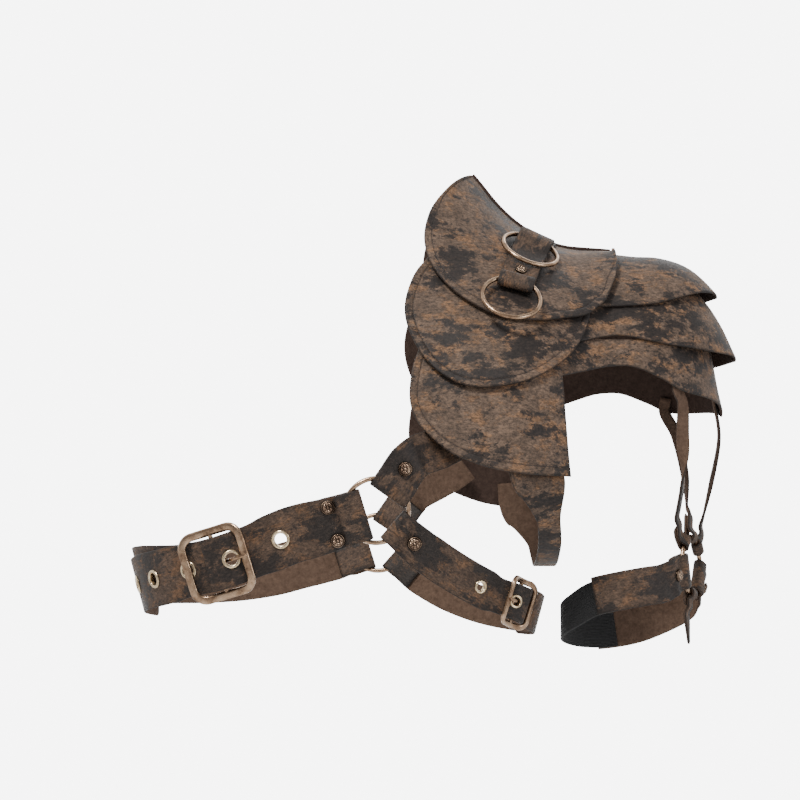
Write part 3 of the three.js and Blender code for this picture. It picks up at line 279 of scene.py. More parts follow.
def blend(tree, factor, first, second, mode="MIX"):
    node = add(tree, "ShaderNodeMix", data_type="RGBA", blend_type=mode)
    if isinstance(factor, (int, float)):
        node.inputs["Factor"].default_value = factor
    else:
        tree.links.new(factor, node.inputs["Factor"])
    for socket, value in ((node.inputs[6], first), (node.inputs[7], second)):
        if isinstance(value, tuple):
            socket.default_value = (*value, 1)
        else:
            tree.links.new(value, socket)
    return node.outputs[2]


def bump(tree, shader, height, strength, distance, before=None):
    node = add(tree, "ShaderNodeBump")
    node.inputs["Strength"].default_value = strength
    node.inputs["Distance"].default_value = distance
    tree.links.new(height, node.inputs["Height"])
    if before:
        tree.links.new(before, node.inputs["Normal"])
    tree.links.new(node.outputs["Normal"], shader.inputs["Normal"])
    return node.outputs["Normal"]


WHITE = (1, 1, 1)
BLACK = (0, 0, 0)


def shaded(colour, share):
    return tuple(share * value for value in colour)


def leather_material(name, on_strap, ground, rust, dark):
    """Distressed leather: mottled ground, rusty patches, ragged dark blotches, dark worn edges, and
    painted shade along the stitch grooves.
    """
    material, tree, shader = new_material(name)
    solid = add(tree, "ShaderNodeTexCoord").outputs["Object"]
    surface = add(tree, "ShaderNodeUVMap", uv_map="surface").outputs["UV"] if on_strap else solid
    mottle = noise_field(tree, solid, (0.8, 1, 1), 75, 8, 0.72)
    colour = ramp(tree, mottle, [(0.34, shaded(ground, 0.62)), (0.66, shaded(ground, 1.35))])
    rusty = noise_field(tree, surface, (0.62, 1, 1), 66, 13, 0.78)
    rusted = ramp(tree, rusty, [(0.515, BLACK), (0.55, shaded(WHITE, 0.6)), (0.7, WHITE)])
    colour = blend(tree, rusted, colour, rust)
    ragged = noise_field(tree, surface, (0.62, 1, 1), 120, 13, 0.78)
    density = noise_field(tree, surface, (0.6, 1, 1), 36, 3, 0.5)
    summed = add(tree, "ShaderNodeMath", operation="MULTIPLY_ADD")
    summed.inputs[1].default_value = 0.8
    tree.links.new(density, summed.inputs[0])
    tree.links.new(ragged, summed.inputs[2])
    mask = ramp(tree, summed.outputs[0], [(0.915, BLACK), (0.932, shaded(WHITE, 0.85)), (1, WHITE)])
    colour = blend(tree, mask, colour, dark)
    fleck = noise_field(tree, surface, (0.5, 1, 1), 560, 9, 0.85)
    flecks = [(0.4, (0.18, 0.17, 0.17)), (0.5, (0.9, 0.88, 0.86)), (0.61, (1.9, 1.78, 1.65))]
    speckle = ramp(tree, fleck, flecks)
    colour = blend(tree, 0.85, colour, speckle, "MULTIPLY")
    # The "edge" attribute darkens worn edges and also paints shade into the panels' stitch grooves
    edge = add(tree, "ShaderNodeAttribute", attribute_name="edge").outputs["Fac"]
    colour = blend(tree, edge, colour, shaded(dark, 0.5))
    tree.links.new(colour, shader.inputs["Base Color"])
    rough = ramp(tree, mask, [(0, shaded(WHITE, 0.7)), (1, shaded(WHITE, 0.58))])
    tree.links.new(rough, shader.inputs["Roughness"])
    shader.inputs["Specular IOR Level"].default_value = 0.25
    pores = add(tree, "ShaderNodeTexVoronoi", feature="DISTANCE_TO_EDGE")
    pores.inputs["Scale"].default_value = 800
    tree.links.new(solid, pores.inputs["Vector"])
    grain = bump(tree, shader, pores.outputs["Distance"], 0.2, 0.0006)
    wrinkles = noise_field(tree, solid, (1, 1, 1), 210, 7, 0.65)
    creased = bump(tree, shader, wrinkles, 0.35, 0.001, grain)
    bump(tree, shader, mask, 0.2, 0.0002, creased)
    return material


def suede_material(name, low, high):
    material, tree, shader = new_material(name)
    solid = add(tree, "ShaderNodeTexCoord").outputs["Object"]
    nap = noise_field(tree, solid, (1, 1, 1), 230, 9, 0.8)
    tree.links.new(ramp(tree, nap, [(0.3, low), (0.7, high)]), shader.inputs["Base Color"])
    shader.inputs["Roughness"].default_value = 0.95
    shader.inputs["Specular IOR Level"].default_value = 0.1
    fibre = noise_field(tree, solid, (1, 1, 1), 1400, 3, 0.8)
    bump(tree, shader, fibre, 0.35, 0.0006)
    return material


def metal_material(name, low, middle, high):
    """Aged brass: bright where it is worn, dark in its patina, and darkened in its hollows by
    painted shade.
    """
    material, tree, shader = new_material(name)
    solid = add(tree, "ShaderNodeTexCoord").outputs["Object"]
    patina = noise_field(tree, solid, (1, 1, 1), 110, 9, 0.66)
    colour = ramp(tree, patina, [(0.3, low), (0.44, middle), (0.68, high)])
    # Painted shade: the "edge" attribute darkens the metal in hollows, between a rivet's petals and
    # under its rim
    cavity_shade = add(tree, "ShaderNodeAttribute", attribute_name="edge").outputs["Fac"]
    colour = blend(tree, cavity_shade, colour, shaded(low, 0.22))
    tree.links.new(colour, shader.inputs["Base Color"])
    rough = ramp(tree, patina, [(0.32, shaded(WHITE, 0.46)), (0.5, shaded(WHITE, 0.27))])
    tree.links.new(rough, shader.inputs["Roughness"])
    shader.inputs["Metallic"].default_value = 1
    pits = noise_field(tree, solid, (1, 1, 1), 900, 4, 0.6)
    bump(tree, shader, pits, 0.15, 0.0003)
    return material


def thread_material():
    material, tree, shader = new_material("thread")
    solid = add(tree, "ShaderNodeTexCoord").outputs["Object"]
    twist = noise_field(tree, solid, (1, 1, 1), 2200, 2, 0.5)
    colour = ramp(tree, twist, [(0.3, (0.012, 0.009, 0.008)), (0.7, (0.05, 0.036, 0.03))])
    tree.links.new(colour, shader.inputs["Base Color"])
    shader.inputs["Roughness"].default_value = 0.8
    return material


def elastic_material():
    material, tree, shader = new_material("elastic")
    surface = add(tree, "ShaderNodeUVMap", uv_map="surface").outputs["UV"]
    ribs = add(tree, "ShaderNodeTexWave", wave_type="BANDS", bands_direction="Y")
    ribs.inputs["Scale"].default_value = 260
    ribs.inputs["Distortion"].default_value = 0.6
    tree.links.new(surface, ribs.inputs["Vector"])
    blacks = [(0, (0.002, 0.002, 0.002)), (1, (0.009, 0.009, 0.01))]
    colour = ramp(tree, ribs.outputs["Fac"], blacks)
    tree.links.new(colour, shader.inputs["Base Color"])
    shader.inputs["Roughness"].default_value = 0.85
    bump(tree, shader, ribs.outputs["Fac"], 0.6, 0.0008)
    return material


# Leathers: ground, rusty patches, dark blotches
PLATE_TONES = ((0.082, 0.056, 0.04), (0.165, 0.089, 0.044), (0.015, 0.011, 0.0095))
STRAP_TONES = ((0.06, 0.039, 0.027), (0.115, 0.061, 0.031), (0.017, 0.0125, 0.0105))
LEATHER = leather_material("plate_leather", False, *PLATE_TONES)
STRAP = leather_material("strap_leather", True, *STRAP_TONES)
SUEDE = suede_material("plate_suede", (0.024, 0.015, 0.012), (0.06, 0.039, 0.031))
STRAP_SUEDE = suede_material("strap_suede", (0.045, 0.028, 0.02), (0.125, 0.08, 0.056))
# Metals: patina, plain, worn bright
RING_TONES = ((0.06, 0.037, 0.024), (0.25, 0.16, 0.102), (0.48, 0.34, 0.23))
RIVET_TONES = ((0.03, 0.02, 0.014), (0.13, 0.085, 0.06), (0.42, 0.3, 0.21))
EYELET_TONES = ((0.22, 0.155, 0.09), (0.52, 0.4, 0.25), (0.75, 0.62, 0.43))
BRASS = metal_material("aged_brass", *RING_TONES)
BRASS_DARK = metal_material("dark_brass", *RIVET_TONES)
BRASS_LIGHT = metal_material("light_brass", *EYELET_TONES)
THREAD = thread_material()
ELASTIC = elastic_material()

# Pieces


def add_piece(
    name, points, faces, materials, nodes, inner=None, uv=None, edge=None
):
    """A smooth mesh from points in millimetres that stands for frame nodes."""
    mesh = bpy.data.meshes.new(name)
    mesh.from_pydata([tuple(p * MM) for p in np.asarray(points, float)], [], faces)
    for material in materials:
        mesh.materials.append(material)
    if inner is not None:
        mesh.polygons.foreach_set("material_index", inner)
    if uv is not None:
        layer = mesh.uv_layers.new(name="surface")
        index = np.empty(len(mesh.loops), int)
        mesh.loops.foreach_get("vertex_index", index)
        layer.data.foreach_set("uv", (np.asarray(uv)[index] * MM).ravel())
    shade = mesh.attributes.new("edge", "FLOAT", "POINT")
    dark = np.zeros(len(points)) if edge is None else np.asarray(edge, float)
    shade.data.foreach_set("value", dark)
    mesh.polygons.foreach_set("use_smooth", [True] * len(mesh.polygons))
    mesh.validate()
    piece = bpy.data.objects.new(name, mesh)
    bpy.context.scene.collection.objects.link(piece)
    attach(piece, "root")
    if nodes:
        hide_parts(*nodes)
    return piece


def grid_faces(rows, columns, loop_rows=False, loop_columns=False, start=0):
    """Quads of a grid of points stored row by row."""
    faces = []
    for j in range(rows if loop_rows else rows - 1):
        for i in range(columns if loop_columns else columns - 1):
            k, m = (j + 1) % rows, (i + 1) % columns
            faces.append(
                (
                    start + j * columns + i,
                    start + j * columns + m,
                    start + k * columns + m,
                    start + k * columns + i,
                )
            )
    return faces


# Panels: steps from an edge in millimetres, where the hem band ends, and where its stitches lie
EDGE_STEPS = [0, 0.3, 0.8, 1.5]
HEM_STEPS = [2.6, 4, 5.2, 6, 6.6, 7.1, 7.6, 8.2, 9, 10.5]
EDGE_ROUND = 1.5
HEM_BAND = 6
STITCH_LINE = 7.1
HEM_RAISE = 0.6
HEM_GROOVE = 0.35
STITCH_PITCH = 3.1
STITCH_LENGTH = 2.2
STITCH_THICK = 0.3
PANEL_COLUMNS = 84
PANEL_ROWS = 18
WAVE_SIZE = 0.28
WAVE_SCALE = 0.045


def waves(points, size=WAVE_SIZE):
    heights = [size * noise.noise(Vector(p * WAVE_SCALE)) for p in points.reshape(-1, 3)]
    return np.array(heights).reshape(points.shape[:-1])


def panel_shares(name, side):
    """A panel's grid of shares, denser at its edges, with distances from its hem and its ends."""
    spread = np.linspace(0, 1, PANEL_COLUMNS)
    u = read(COLUMN_SHARES, 1, spread)
    ends = np.array(EDGE_STEPS[:-1])
    length = run_lengths(panel_place(name, u, 1, side, 0)[0])[-1]
    between = u[(u > 2 / length) & (u < 1 - 2 / length)]
    u = np.concatenate([ends / length, between, 1 - ends[::-1] / length])
    top, middle, near, hem = (panel_place(name, u, v, side, 0)[0] for v in (0, 0.5, 0.97, 1))
    way = unit(near - hem)
    rim = unit(np.gradient(hem, axis=0))
    lean = np.maximum(np.linalg.norm(np.cross(way, rim), axis=1), 0.35)
    reach = np.linalg.norm(middle - hem, axis=1) + np.linalg.norm(top - middle, axis=1)
    steps = np.array(EDGE_STEPS + HEM_STEPS)
    squeeze = np.minimum(1, reach / 45)
    from_hem = steps[None, :] / lean[:, None] * squeeze[:, None]
    from_top = np.array(EDGE_STEPS[::-1])[None, :] * squeeze[:, None]
    low = from_hem[:, -1:]
    high = reach[:, None] - from_top[:, :1]
    inside = low + (high - low) * np.linspace(0, 1, PANEL_ROWS)[None, 1:-1]
    run = np.concatenate([from_hem, inside, reach[:, None] - from_top], axis=1)
    v = 1 - run / reach[:, None]
    depth = run * lean[:, None]
    from_ends = np.minimum(u, 1 - u) * length
    return u[:, None] + 0 * v, v, depth, (reach[:, None] - run), from_ends[:, None] + 0 * v, length


def relief(depth):
    """The hem's raised band and the groove that its stitches lie in."""
    band = HEM_RAISE * (1 - smooth(depth, HEM_BAND - 0.4, HEM_BAND + 0.8))
    return band - HEM_GROOVE * np.exp(-(((depth - STITCH_LINE) / 0.55) ** 2))


def make_panel(name, side, label):
    u, v, depth, from_top, from_ends, length = panel_shares(name, side)
    near = np.minimum(np.minimum(depth, from_top), from_ends)
    full = np.sqrt(np.clip(1 - (1 - np.clip(near / EDGE_ROUND, 0, 1)) ** 2, 0, 1))
    half = PANEL_LEATHER / 2
    hemmed = 0 if name in LAME_FLARES else relief(depth) * smooth(near, 0, 1.2)
    middle, normal = panel_place(name, u, v, side, half)
    wave = waves(middle) * smooth(v, 0.1, 0.6)
    outer = middle + normal * (full * half + hemmed + wave)[..., None]
    inner = middle + normal * (wave - full * half)[..., None]
    for layer in (outer, inner):
        layer[..., 1] = side * np.maximum(side * layer[..., 1], SEAM_GAP / 2)
    columns, rows = v.shape
    count = columns * rows
    border = np.zeros((columns, rows), bool)
    border[[0, -1], :] = True
    border[:, [0, -1]] = True
    index = np.arange(count).reshape(columns, rows)
    under = np.where(border, index, count + np.cumsum(~border.ravel()).reshape(columns, rows) - 1)
    points = np.concatenate([outer.reshape(-1, 3), inner[~border]])
    faces, which = [], []
    for i in range(columns - 1):
        for j in range(rows - 1):
            quad = ((i, j), (i + 1, j), (i + 1, j + 1), (i, j + 1))
            over = [int(index[k]) for k in quad]
            below = [int(under[k]) for k in quad][::-1]
            faces += [over[::-1], below[::-1]] if side < 0 else [over, below]
            which += [0, 1]
    run = np.stack([u * length, depth], axis=-1)
    uv = np.concatenate([run.reshape(-1, 2), run[~border]])
    # Darker rounded edges are worn leather; the dark line along the stitch groove is painted shade
    dark = np.clip(1 - near / 1.3, 0, 1) * 0.8
    if name not in LAME_FLARES:
        dark = dark + 0.5 * np.exp(-(((depth - STITCH_LINE) / 0.5) ** 2))
    edge = np.concatenate([dark.ravel(), np.zeros((~border).sum())])
    nodes = [f"{name}_{label}"]
    piece = f"{name}_leather_{label}"
    add_piece(piece, points, faces, [LEATHER, SUEDE], nodes, inner=which, uv=uv, edge=edge)
    if name not in LAME_FLARES:
        add_stitches(f"{name}_stitches_{label}", name, side)


def stitch_points(centre, way, normal, length, thick):
    """A spindle of thread that lies along a way: rings of five points and two tips."""
    across = np.cross(normal, way)
    rings = []
    for share, size in ((-0.5, 0.35), (-0.3, 1), (0.3, 1), (0.5, 0.35)):
        for k in range(5):
            turn = 2 * math.pi * k / 5
            lift = size * thick * math.sin(turn) + thick * (0.4 - 2.2 * share * share)
            wide = size * thick * math.cos(turn)
            rings.append(centre + way * share * length + across * wide + normal * lift)
    return rings


STITCH_FACES = grid_faces(4, 5, loop_columns=True) + [(4, 3, 2, 1, 0), (15, 16, 17, 18, 19)]


def thread_piece(name, places):
    """One mesh of stitches at places: centre, way and normal of each."""
    points, faces = [], []
    for centre, way, normal in places:
        start = len(points)
        points += stitch_points(centre, way, normal, STITCH_LENGTH, STITCH_THICK)
        faces += [tuple(start + i for i in face) for face in STITCH_FACES]
    if points:
        add_piece(name, points, faces, [THREAD], [])


def add_stitches(piece, name, side):
    u, v, depth, *_ = panel_shares(name, side)
    u = u[:, 0]
    v = np.array([np.interp(STITCH_LINE, depth[i], v[i]) for i in range(len(u))])
    points, normals = panel_place(name, u, v, side, PANEL_LEATHER - HEM_GROOVE * 0.7)
    middle, _ = panel_place(name, u, v, side, PANEL_LEATHER / 2)
    points = points + normals * (waves(middle) * smooth(v, 0.1, 0.6))[:, None]
    run = run_lengths(points)
    at = np.arange(STITCH_PITCH, run[-1] - STITCH_PITCH, STITCH_PITCH)
    centres = read_line(at, run, points)
    ways = unit(read_line(at + 1, run, points) - centres)
    thread_piece(piece, list(zip(centres, ways, unit(read_line(at, run, normals)))))


for panel in PANELS:
    for side, label in SIDES:
        make_panel(panel, side, label)

# Tracks and straps

CENTRE_BAR = 1.75
RING_WIRE = 2
CHEST_RING_RADIUS = 26
PLATE_RING_RADIUS = 24
ARM_RING_RADIUS = 24
RIVET_RADIUS = 6
RIVET_HEIGHT = 3.4
SMALL_RIVET = 0.8
PRONG = 1.3
STRAP_STEP = 2.2
RING_STEPS = 120
RIVET_STEPS = 96
RIVET_PETALS = 8
EYELET_STEPS = 48
HOLE_STEPS = 32


def vec(*values):
    return np.array(values, float)


def smooth_path(points, count):
    """A centripetal curve through points, sampled evenly in each span."""
    p = np.asarray(points, float)
    p = np.vstack([2 * p[0] - p[1], p, 2 * p[-1] - p[-2]])
    at = np.linspace(0, len(p) - 3, count)
    i = np.minimum(at.astype(int), len(p) - 4)
    w = (at - i)[:, None]
    gap = np.maximum(np.sum(np.diff(p, axis=0) ** 2, axis=1) ** 0.25, 1e-4)
    before, here, after = gap[i][:, None], gap[i + 1][:, None], gap[i + 2][:, None]
    a, b, c, d = p[i], p[i + 1], p[i + 2], p[i + 3]
    leave = ((b - a) / before - (c - a) / (before + here) + (c - b) / here) * here
    reach = ((c - b) / here - (d - b) / (here + after) + (d - c) / after) * here
    square = 3 * (c - b) - 2 * leave - reach
    cube = 2 * (b - c) + leave + reach
    return b + leave * w + square * w**2 + cube * w**3, at


class Track:
    """A smooth middle line with an outward direction along it."""

    def __init__(self, stops):
        points = np.array([point for point, _ in stops])
        normals = np.array([normal for _, normal in stops])
        self.points, at = smooth_path(points, 400 * (len(points) - 1) + 1)
        self.runs = run_lengths(self.points)
        self.length = self.runs[-1]
        self.tangents = unit(np.gradient(self.points, self.runs, axis=0))
        self.normals = read_line(at, range(len(normals)), normals)

    def place(self, run, across, height):
        place = [np.asarray(x, float) for x in (run, across, height)]
        run, across, height = np.broadcast_arrays(*place)
        on = np.clip(run, 0, self.length)
        tangent = unit(read_line(on, self.runs, self.tangents))
        out = read_line(on, self.runs, self.normals)
        out = unit(out - tangent * np.sum(out * tangent, axis=-1, keepdims=True))
        sideways = np.cross(tangent, out)
        point = read_line(on, self.runs, self.points) + tangent * (run - on)[..., None]
        point = point + sideways * across[..., None] + out * height[..., None]
        return point, tangent, out, sideways

    def nearest(self, target):
        return self.runs[np.argmin(np.linalg.norm(self.points - target, axis=1))]


def layer_height(layer):
    return STRAP_LEATHER / 2 + layer * (STRAP_LEATHER + CLEARANCE)


def turn_radius(wire):
    return wire + CLEARANCE + STRAP_LEATHER / 2


def wire_height(wire):
    return layer_height(0) + turn_radius(wire)


def folded_end(wire, fold_run, wire_end, tail_end, settle=10):
    """The middle line of a strap end that turns round a wire: in, round it, and back over."""
    radius = turn_radius(wire)
    centre = fold_run + radius + STRAP_LEATHER / 2
    high = wire_height(wire) + radius
    line = [(tail_end, layer_height(0))]
    for k in range(5):
        turn = k * math.pi / 4
        line.append((centre - radius * math.sin(turn), wire_height(wire) - radius * math.cos(turn)))
    line.append((wire_end, high))
    line.append((mix(wire_end, tail_end, 0.16), mix(high, layer_height(1), 0.6)))
    line.append((mix(wire_end, tail_end, 0.34), layer_height(1)))
    line.append((tail_end + 2, layer_height(1)))
    line.append((tail_end + 2 + settle, layer_height(0)))
    return line


def flat_runs(start, end, step, height):
    count = max(1, round((end - start) / step))
    return [(mix(start, end, (i + 1) / count), height) for i in range(count)]


def even_line(line, step):
    curve, _ = smooth_path(line, 60 * (len(line) - 1) + 1)
    run = run_lengths(curve)
    at = np.linspace(0, run[-1], max(4, round(run[-1] / step)))
    return read_line(at, run, curve), at


def section(width, leather, columns):
    """A flat band's section with round edges, as places across and heights."""
    half, edge = width / 2, min(0.42 * leather, 1.1)
    turns = np.linspace(0, math.pi / 2, 4)
    x, y = half - edge, leather / 2 - edge
    right = [(x + edge * math.sin(t), y + edge * math.cos(t)) for t in turns]
    flat = np.linspace(-1, 1, columns)[1:-1] * (half - edge)
    upper = [(-x, y) for x, y in right[::-1]] + [(x, leather / 2) for x in flat] + right
    lower = [(x, -y) for x, y in upper[::-1]]
    loop = np.array(upper + lower)
    return loop, len(upper)


def strap_mesh(track, line, width_at, leather=STRAP_LEATHER, columns=9, ribs=0, ripple=0.12):
    """Points, faces, materials, places and edge shades of a strap along a track."""
    rows, at = even_line(line, STRAP_STEP)
    way = unit(np.gradient(rows, axis=0))
    bend = np.stack([-way[:, 1], way[:, 0]], axis=-1)
    points, uv, shade = [], [], []
    for i, (run, height) in enumerate(rows):
        width = float(width_at(run))
        loop, upper = section(width, leather, columns)
        across, lift = loop[:, 0], loop[:, 1].copy()
        if ribs:
            lift += 0.12 * np.sin(across * 2 * math.pi / ribs) * np.sign(lift)
        end = min(at[i], at[-1] - at[i])
        lift = lift * math.sqrt(max(0.2, 1 - (1 - min(end / 1.2, 1)) ** 2))
        point, _, _, _ = track.place(run + bend[i, 0] * lift, across, height + bend[i, 1] * lift)
        points.append(point)
        uv.append(np.stack([np.full(len(loop), at[i]), across], axis=-1))
        near = np.minimum(width / 2 - np.abs(across), end)
        shade.append(0.85 * np.clip(1 - near / 1.5, 0, 1))
    count = len(loop)
    points = np.concatenate(points)
    moved = waves(points, ripple)
    points[:, 2] += moved
    faces = grid_faces(len(rows), count, loop_columns=True)
    around = [0 if i < upper - 1 or i in (upper, count - 1) else 1 for i in range(count)]
    which = around * (len(rows) - 1)
    caps = [tuple(range(count))[::-1], tuple(range((len(rows) - 1) * count, len(rows) * count))]
    return points, faces + caps, which + [0, 0], np.concatenate(uv), np.concatenate(shade)


def signed(points, faces):
    p = np.asarray(points)
    p = p - p.mean(axis=0)
    total = 0.0
    for face in faces:
        for k in range(1, len(face) - 1):
            total += np.dot(p[face[0]], np.cross(p[face[k]], p[face[k + 1]]))
    return faces if total > 0 else [tuple(reversed(face)) for face in faces]


def add_strap(name, nodes, track, line, width_at, material=STRAP, **shape):
    points, faces, which, uv, shade = strap_mesh(track, line, width_at, **shape)
    under = ELASTIC if material is ELASTIC else STRAP_SUEDE
    materials = [material, under]
    return add_piece(name, points, signed(points, faces), materials, nodes, which, uv, shade)


def crest(line, run, reach):
    rows, _ = even_line(line, 0.5)
    near = rows[np.abs(rows[:, 0] - run) <= reach]
    return near[:, 1].max()


def cross_stitches(name, track, line, run, *spans):
    """Rows of stitches across a strap at a run, each between two places across it."""
    top = crest(line, run, 1) + STRAP_LEATHER / 2 - 0.1
    places = []
    for start, end in spans:
        for across in np.linspace(start, end, max(2, round(abs(end - start) / STITCH_PITCH))):
            point, _, out, sideways = track.place(run, across, top)
            places.append((point, sideways, out))
    thread_piece(name, places)


def cut_through(piece, cutters):
    """Cuts closed shapes out of a piece and removes them again."""
    for cutter in cutters:
        modifier = piece.modifiers.new("hole", "BOOLEAN")
        modifier.object = cutter
        modifier.operation = "DIFFERENCE"
        modifier.solver = "EXACT"
    bpy.context.view_layer.update()
    graph = bpy.context.evaluated_depsgraph_get()
    result = bpy.data.meshes.new_from_object(piece.evaluated_get(graph))
    piece.modifiers.clear()
    old = piece.data
    piece.data = result
    bpy.data.meshes.remove(old)
    for cutter in cutters:
        mesh = cutter.data
        bpy.data.objects.remove(cutter)
        bpy.data.meshes.remove(mesh)


def cutter_of(points, faces):
    mesh = bpy.data.meshes.new("cutter")
    mesh.from_pydata([tuple(p * MM) for p in points], [], signed(points, faces))
    cutter = bpy.data.objects.new("cutter", mesh)
    bpy.context.scene.collection.objects.link(cutter)
    return cutter


# Hardware


def lathed(profile, sides):
    """Points and faces of a profile of radius and height turned round the height axis."""
    turns = np.arange(sides) * 2 * math.pi / sides
    points = [(r * math.cos(t), r * math.sin(t), height) for r, height in profile for t in turns]
    return np.array(points), grid_faces(len(profile), sides, loop_columns=True)


def set_on(points, track, run, across, height, tilt=0.0):
    """Moves local points onto a track: their x along it, y across it, and z outwards."""
    centre, tangent, out, sideways = track.place(run, across, height)
    x = points[:, 0] * math.cos(tilt) + points[:, 2] * math.sin(tilt)
    z = points[:, 2] * math.cos(tilt) - points[:, 0] * math.sin(tilt)
    return centre + x[:, None] * tangent - points[:, 1, None] * sideways + z[:, None] * out


def rod_mesh(rings, closed):
    count = len(rings[0])
    points = np.concatenate(rings)
    faces = grid_faces(len(rings), count, loop_rows=closed, loop_columns=True)
    if not closed:
        faces += [tuple(range(count))[::-1], tuple(range(len(points) - count, len(points)))]
    return points, faces


def add_metal(node, points, faces, material=BRASS, edge=None):
    add_piece(
        f"{node}_metal", points, signed(points, faces), [material], [node], edge=edge
    )


def add_ring(node, centre, first, second, radius):
    """A smooth ring of wire in the plane of two directions, with a faint join."""
    rings = []
    axis = np.cross(first, second)
    around = [(math.cos(a), math.sin(a)) for a in np.linspace(0, 2 * math.pi, 16, endpoint=False)]
    for k in range(RING_STEPS):
        turn = 2 * math.pi * k / RING_STEPS
        out = first * math.cos(turn) + second * math.sin(turn)
        join = math.exp(-((k - RING_STEPS / 2) ** 2) / 1.5)
        wire = RING_WIRE * (1 + 0.02 * math.sin(7 * turn) - 0.12 * join)
        rings.append([centre + out * (radius + wire * c) + axis * wire * s for c, s in around])
    add_metal(node, *rod_mesh(rings, True))


def rivet_relief(share, turn):
    """The flower on a rivet's dome: a bead round the rim, petals, and a heart."""
    leaf = abs(math.cos(RIVET_PETALS / 2 * turn)) ** 0.6
    petal = 0.75 * leaf * math.exp(-(((share - 0.5) / 0.19) ** 4))
    bead = 0.4 * (0.6 + 0.4 * math.cos(24 * turn)) * math.exp(-(((share - 0.88) / 0.07) ** 2))
    heart = 0.6 * math.exp(-((share / 0.17) ** 4))
    return petal + bead + heart


def add_rivet(node, track, line, run, across, size=1.0):
    """A domed rivet with a flower pressed into it, with painted shade in its hollows."""
    top = crest(line, run, size * RIVET_RADIUS) + STRAP_LEATHER / 2 + 0.25
    turns = np.arange(RIVET_STEPS) * 2 * math.pi / RIVET_STEPS
    circle = [(RIVET_RADIUS * math.cos(turn), RIVET_RADIUS * math.sin(turn)) for turn in turns]
    rings = [[(x, y, -0.2) for x, y in circle]]
    # Painted shade: the rim where the rivet meets the leather and the low ground between its petals
    # are darkened
    cavity_shade = [0.6] * RIVET_STEPS
    for share in np.linspace(1, 0.02, 26):
        dome = (RIVET_HEIGHT - 0.75) * math.sqrt(max(0, 1 - share**2)) ** 0.85
        reliefs = [rivet_relief(share, turn) for turn in turns]
        rings.append([(share * x, share * y, dome + z) for (x, y), z in zip(circle, reliefs)])
        cavity_shade += [1 - min(1, high / 0.35) for high in reliefs]
    points, faces = rod_mesh(rings, False)
    add_metal(node, set_on(points * size, track, run, across, top), faces, BRASS_DARK, cavity_shade)


def eyelet_profile(hole, rim):
    middle = (hole + rim) / 2
    depth = STRAP_LEATHER + 0.5
    profile = [(hole, -depth), (hole + 0.5, -depth), (hole + 0.6, 0)]
    profile += [(rim - 0.2, -0.05), (rim, 0.15)]
    wide = (rim - hole) / 2 * 0.94
    for k in range(9):
        turn = math.pi * k / 8
        profile.append((middle + wide * math.cos(turn), 0.2 + 0.95 * math.sin(turn)))
    profile += [(hole, 0), (hole, -depth)]
    return profile


def frame_section(centre, wide, thick, half_wide, half_thick, sides=16):
    """A ring of points round a bar: an oval with a broad flat face."""
    ring = []
    for k in range(sides):
        turn = 2 * math.pi * (k + 0.5) / sides
        c, s = math.cos(turn), math.sin(turn)
        ring.append(
            centre
            + wide * half_wide * math.copysign(abs(c) ** 0.8, c)
            + thick * half_thick * math.copysign(abs(s) ** 0.8, s)
        )
    return ring


BUCKLE_CORNER = 0.4


def buckle_frame(length, width, bar, thick, bend):
    half_length, half_width = (length - bar) / 2, (width - bar) / 2
    corner = min(half_length, half_width) * BUCKLE_CORNER
    path = []
    for sx, sy, start in ((1, 1, 0), (-1, 1, 1), (-1, -1, 2), (1, -1, 3)):
        for k in range(11):
            turn = (start + k / 10) * math.pi / 2
            path.append((sx * (half_length - corner), sy * (half_width - corner), turn))
    rings = []
    bends = [vec(x + corner * math.cos(t), y + corner * math.sin(t), 0) for x, y, t in path]
    for i, (_, _, turn) in enumerate(path):
        here, there = bends[i], bends[(i + 1) % len(path)]
        steps = max(1, round(np.linalg.norm(there - here) / 2.5))
        for k in range(steps):
            share = k / steps
            point = mix(here, there, share)
            lift = bend * (point[0] / half_length) ** 2
            out = vec(math.cos(turn), math.sin(turn), 0)
            wide = (1 + 0.012 * math.sin(0.9 * len(rings))) * bar / 2
            rings.append(frame_section(point + vec(0, 0, lift), out, vec(0, 0, 1), wide, thick / 2))
    points, faces = rod_mesh(rings, True)
    rail = [
        frame_section(vec(0, y, 0), vec(1, 0, 0), vec(0, 0, 1), CENTRE_BAR, CENTRE_BAR)
        for y in np.linspace(-half_width, half_width, 24)
    ]
    rail_points, rail_faces = rod_mesh(rail, False)
    start = len(points)
    turned = [tuple(start + i for i in face) for face in signed(rail_points, rail_faces)]
    return np.concatenate([points, rail_points]), signed(points, faces) + turned


def prong_shape(length, thick, bend, rising):
    hook = CENTRE_BAR + CLEARANCE + PRONG
    rest = bend + thick / 2 + CLEARANCE + PRONG
    turns = [math.radians(angle) for angle in (205, 165, 125, 85, 50)]
    line = [(hook * math.cos(turn), hook * math.sin(turn)) for turn in turns]
    line += [*rising, (length / 2 - 4, rest), (length / 2, rest)]
    rows, at = even_line(line, 0.8)
    way = unit(np.gradient(rows, axis=0))
    rings = []
    for i, (x, z) in enumerate(rows):
        left = at[-1] - at[i]
        tip = math.sqrt(max(0.12, 1 - (1 - min(left / 2.2, 1)) ** 2))
        size = PRONG * tip * (1 - 0.18 * at[i] / at[-1])
        up = vec(way[i, 1], 0, way[i, 0])
        rings.append(
            frame_section(vec(-x, 0, z), vec(0, 1, 0), up, size * 1.15, size * 0.95, sides=12)
        )
    return rod_mesh(rings, False)


# The chest, its rings and belts

CHEST_X = -225
CHEST_HALF_WIDTH = 160
CHEST_HALF_DEPTH = 122
CHEST_TAPER = 0.27
CHEST_SQUARENESS = 2.4
RING_DROP = 214
BELT_DROP = 264
SIDE_DROP = 286
RING_ANGLE = -8.6
SIDE_STAND = 12
UP_WIDTH = 34
STRAP_RIVET_RUN = 41


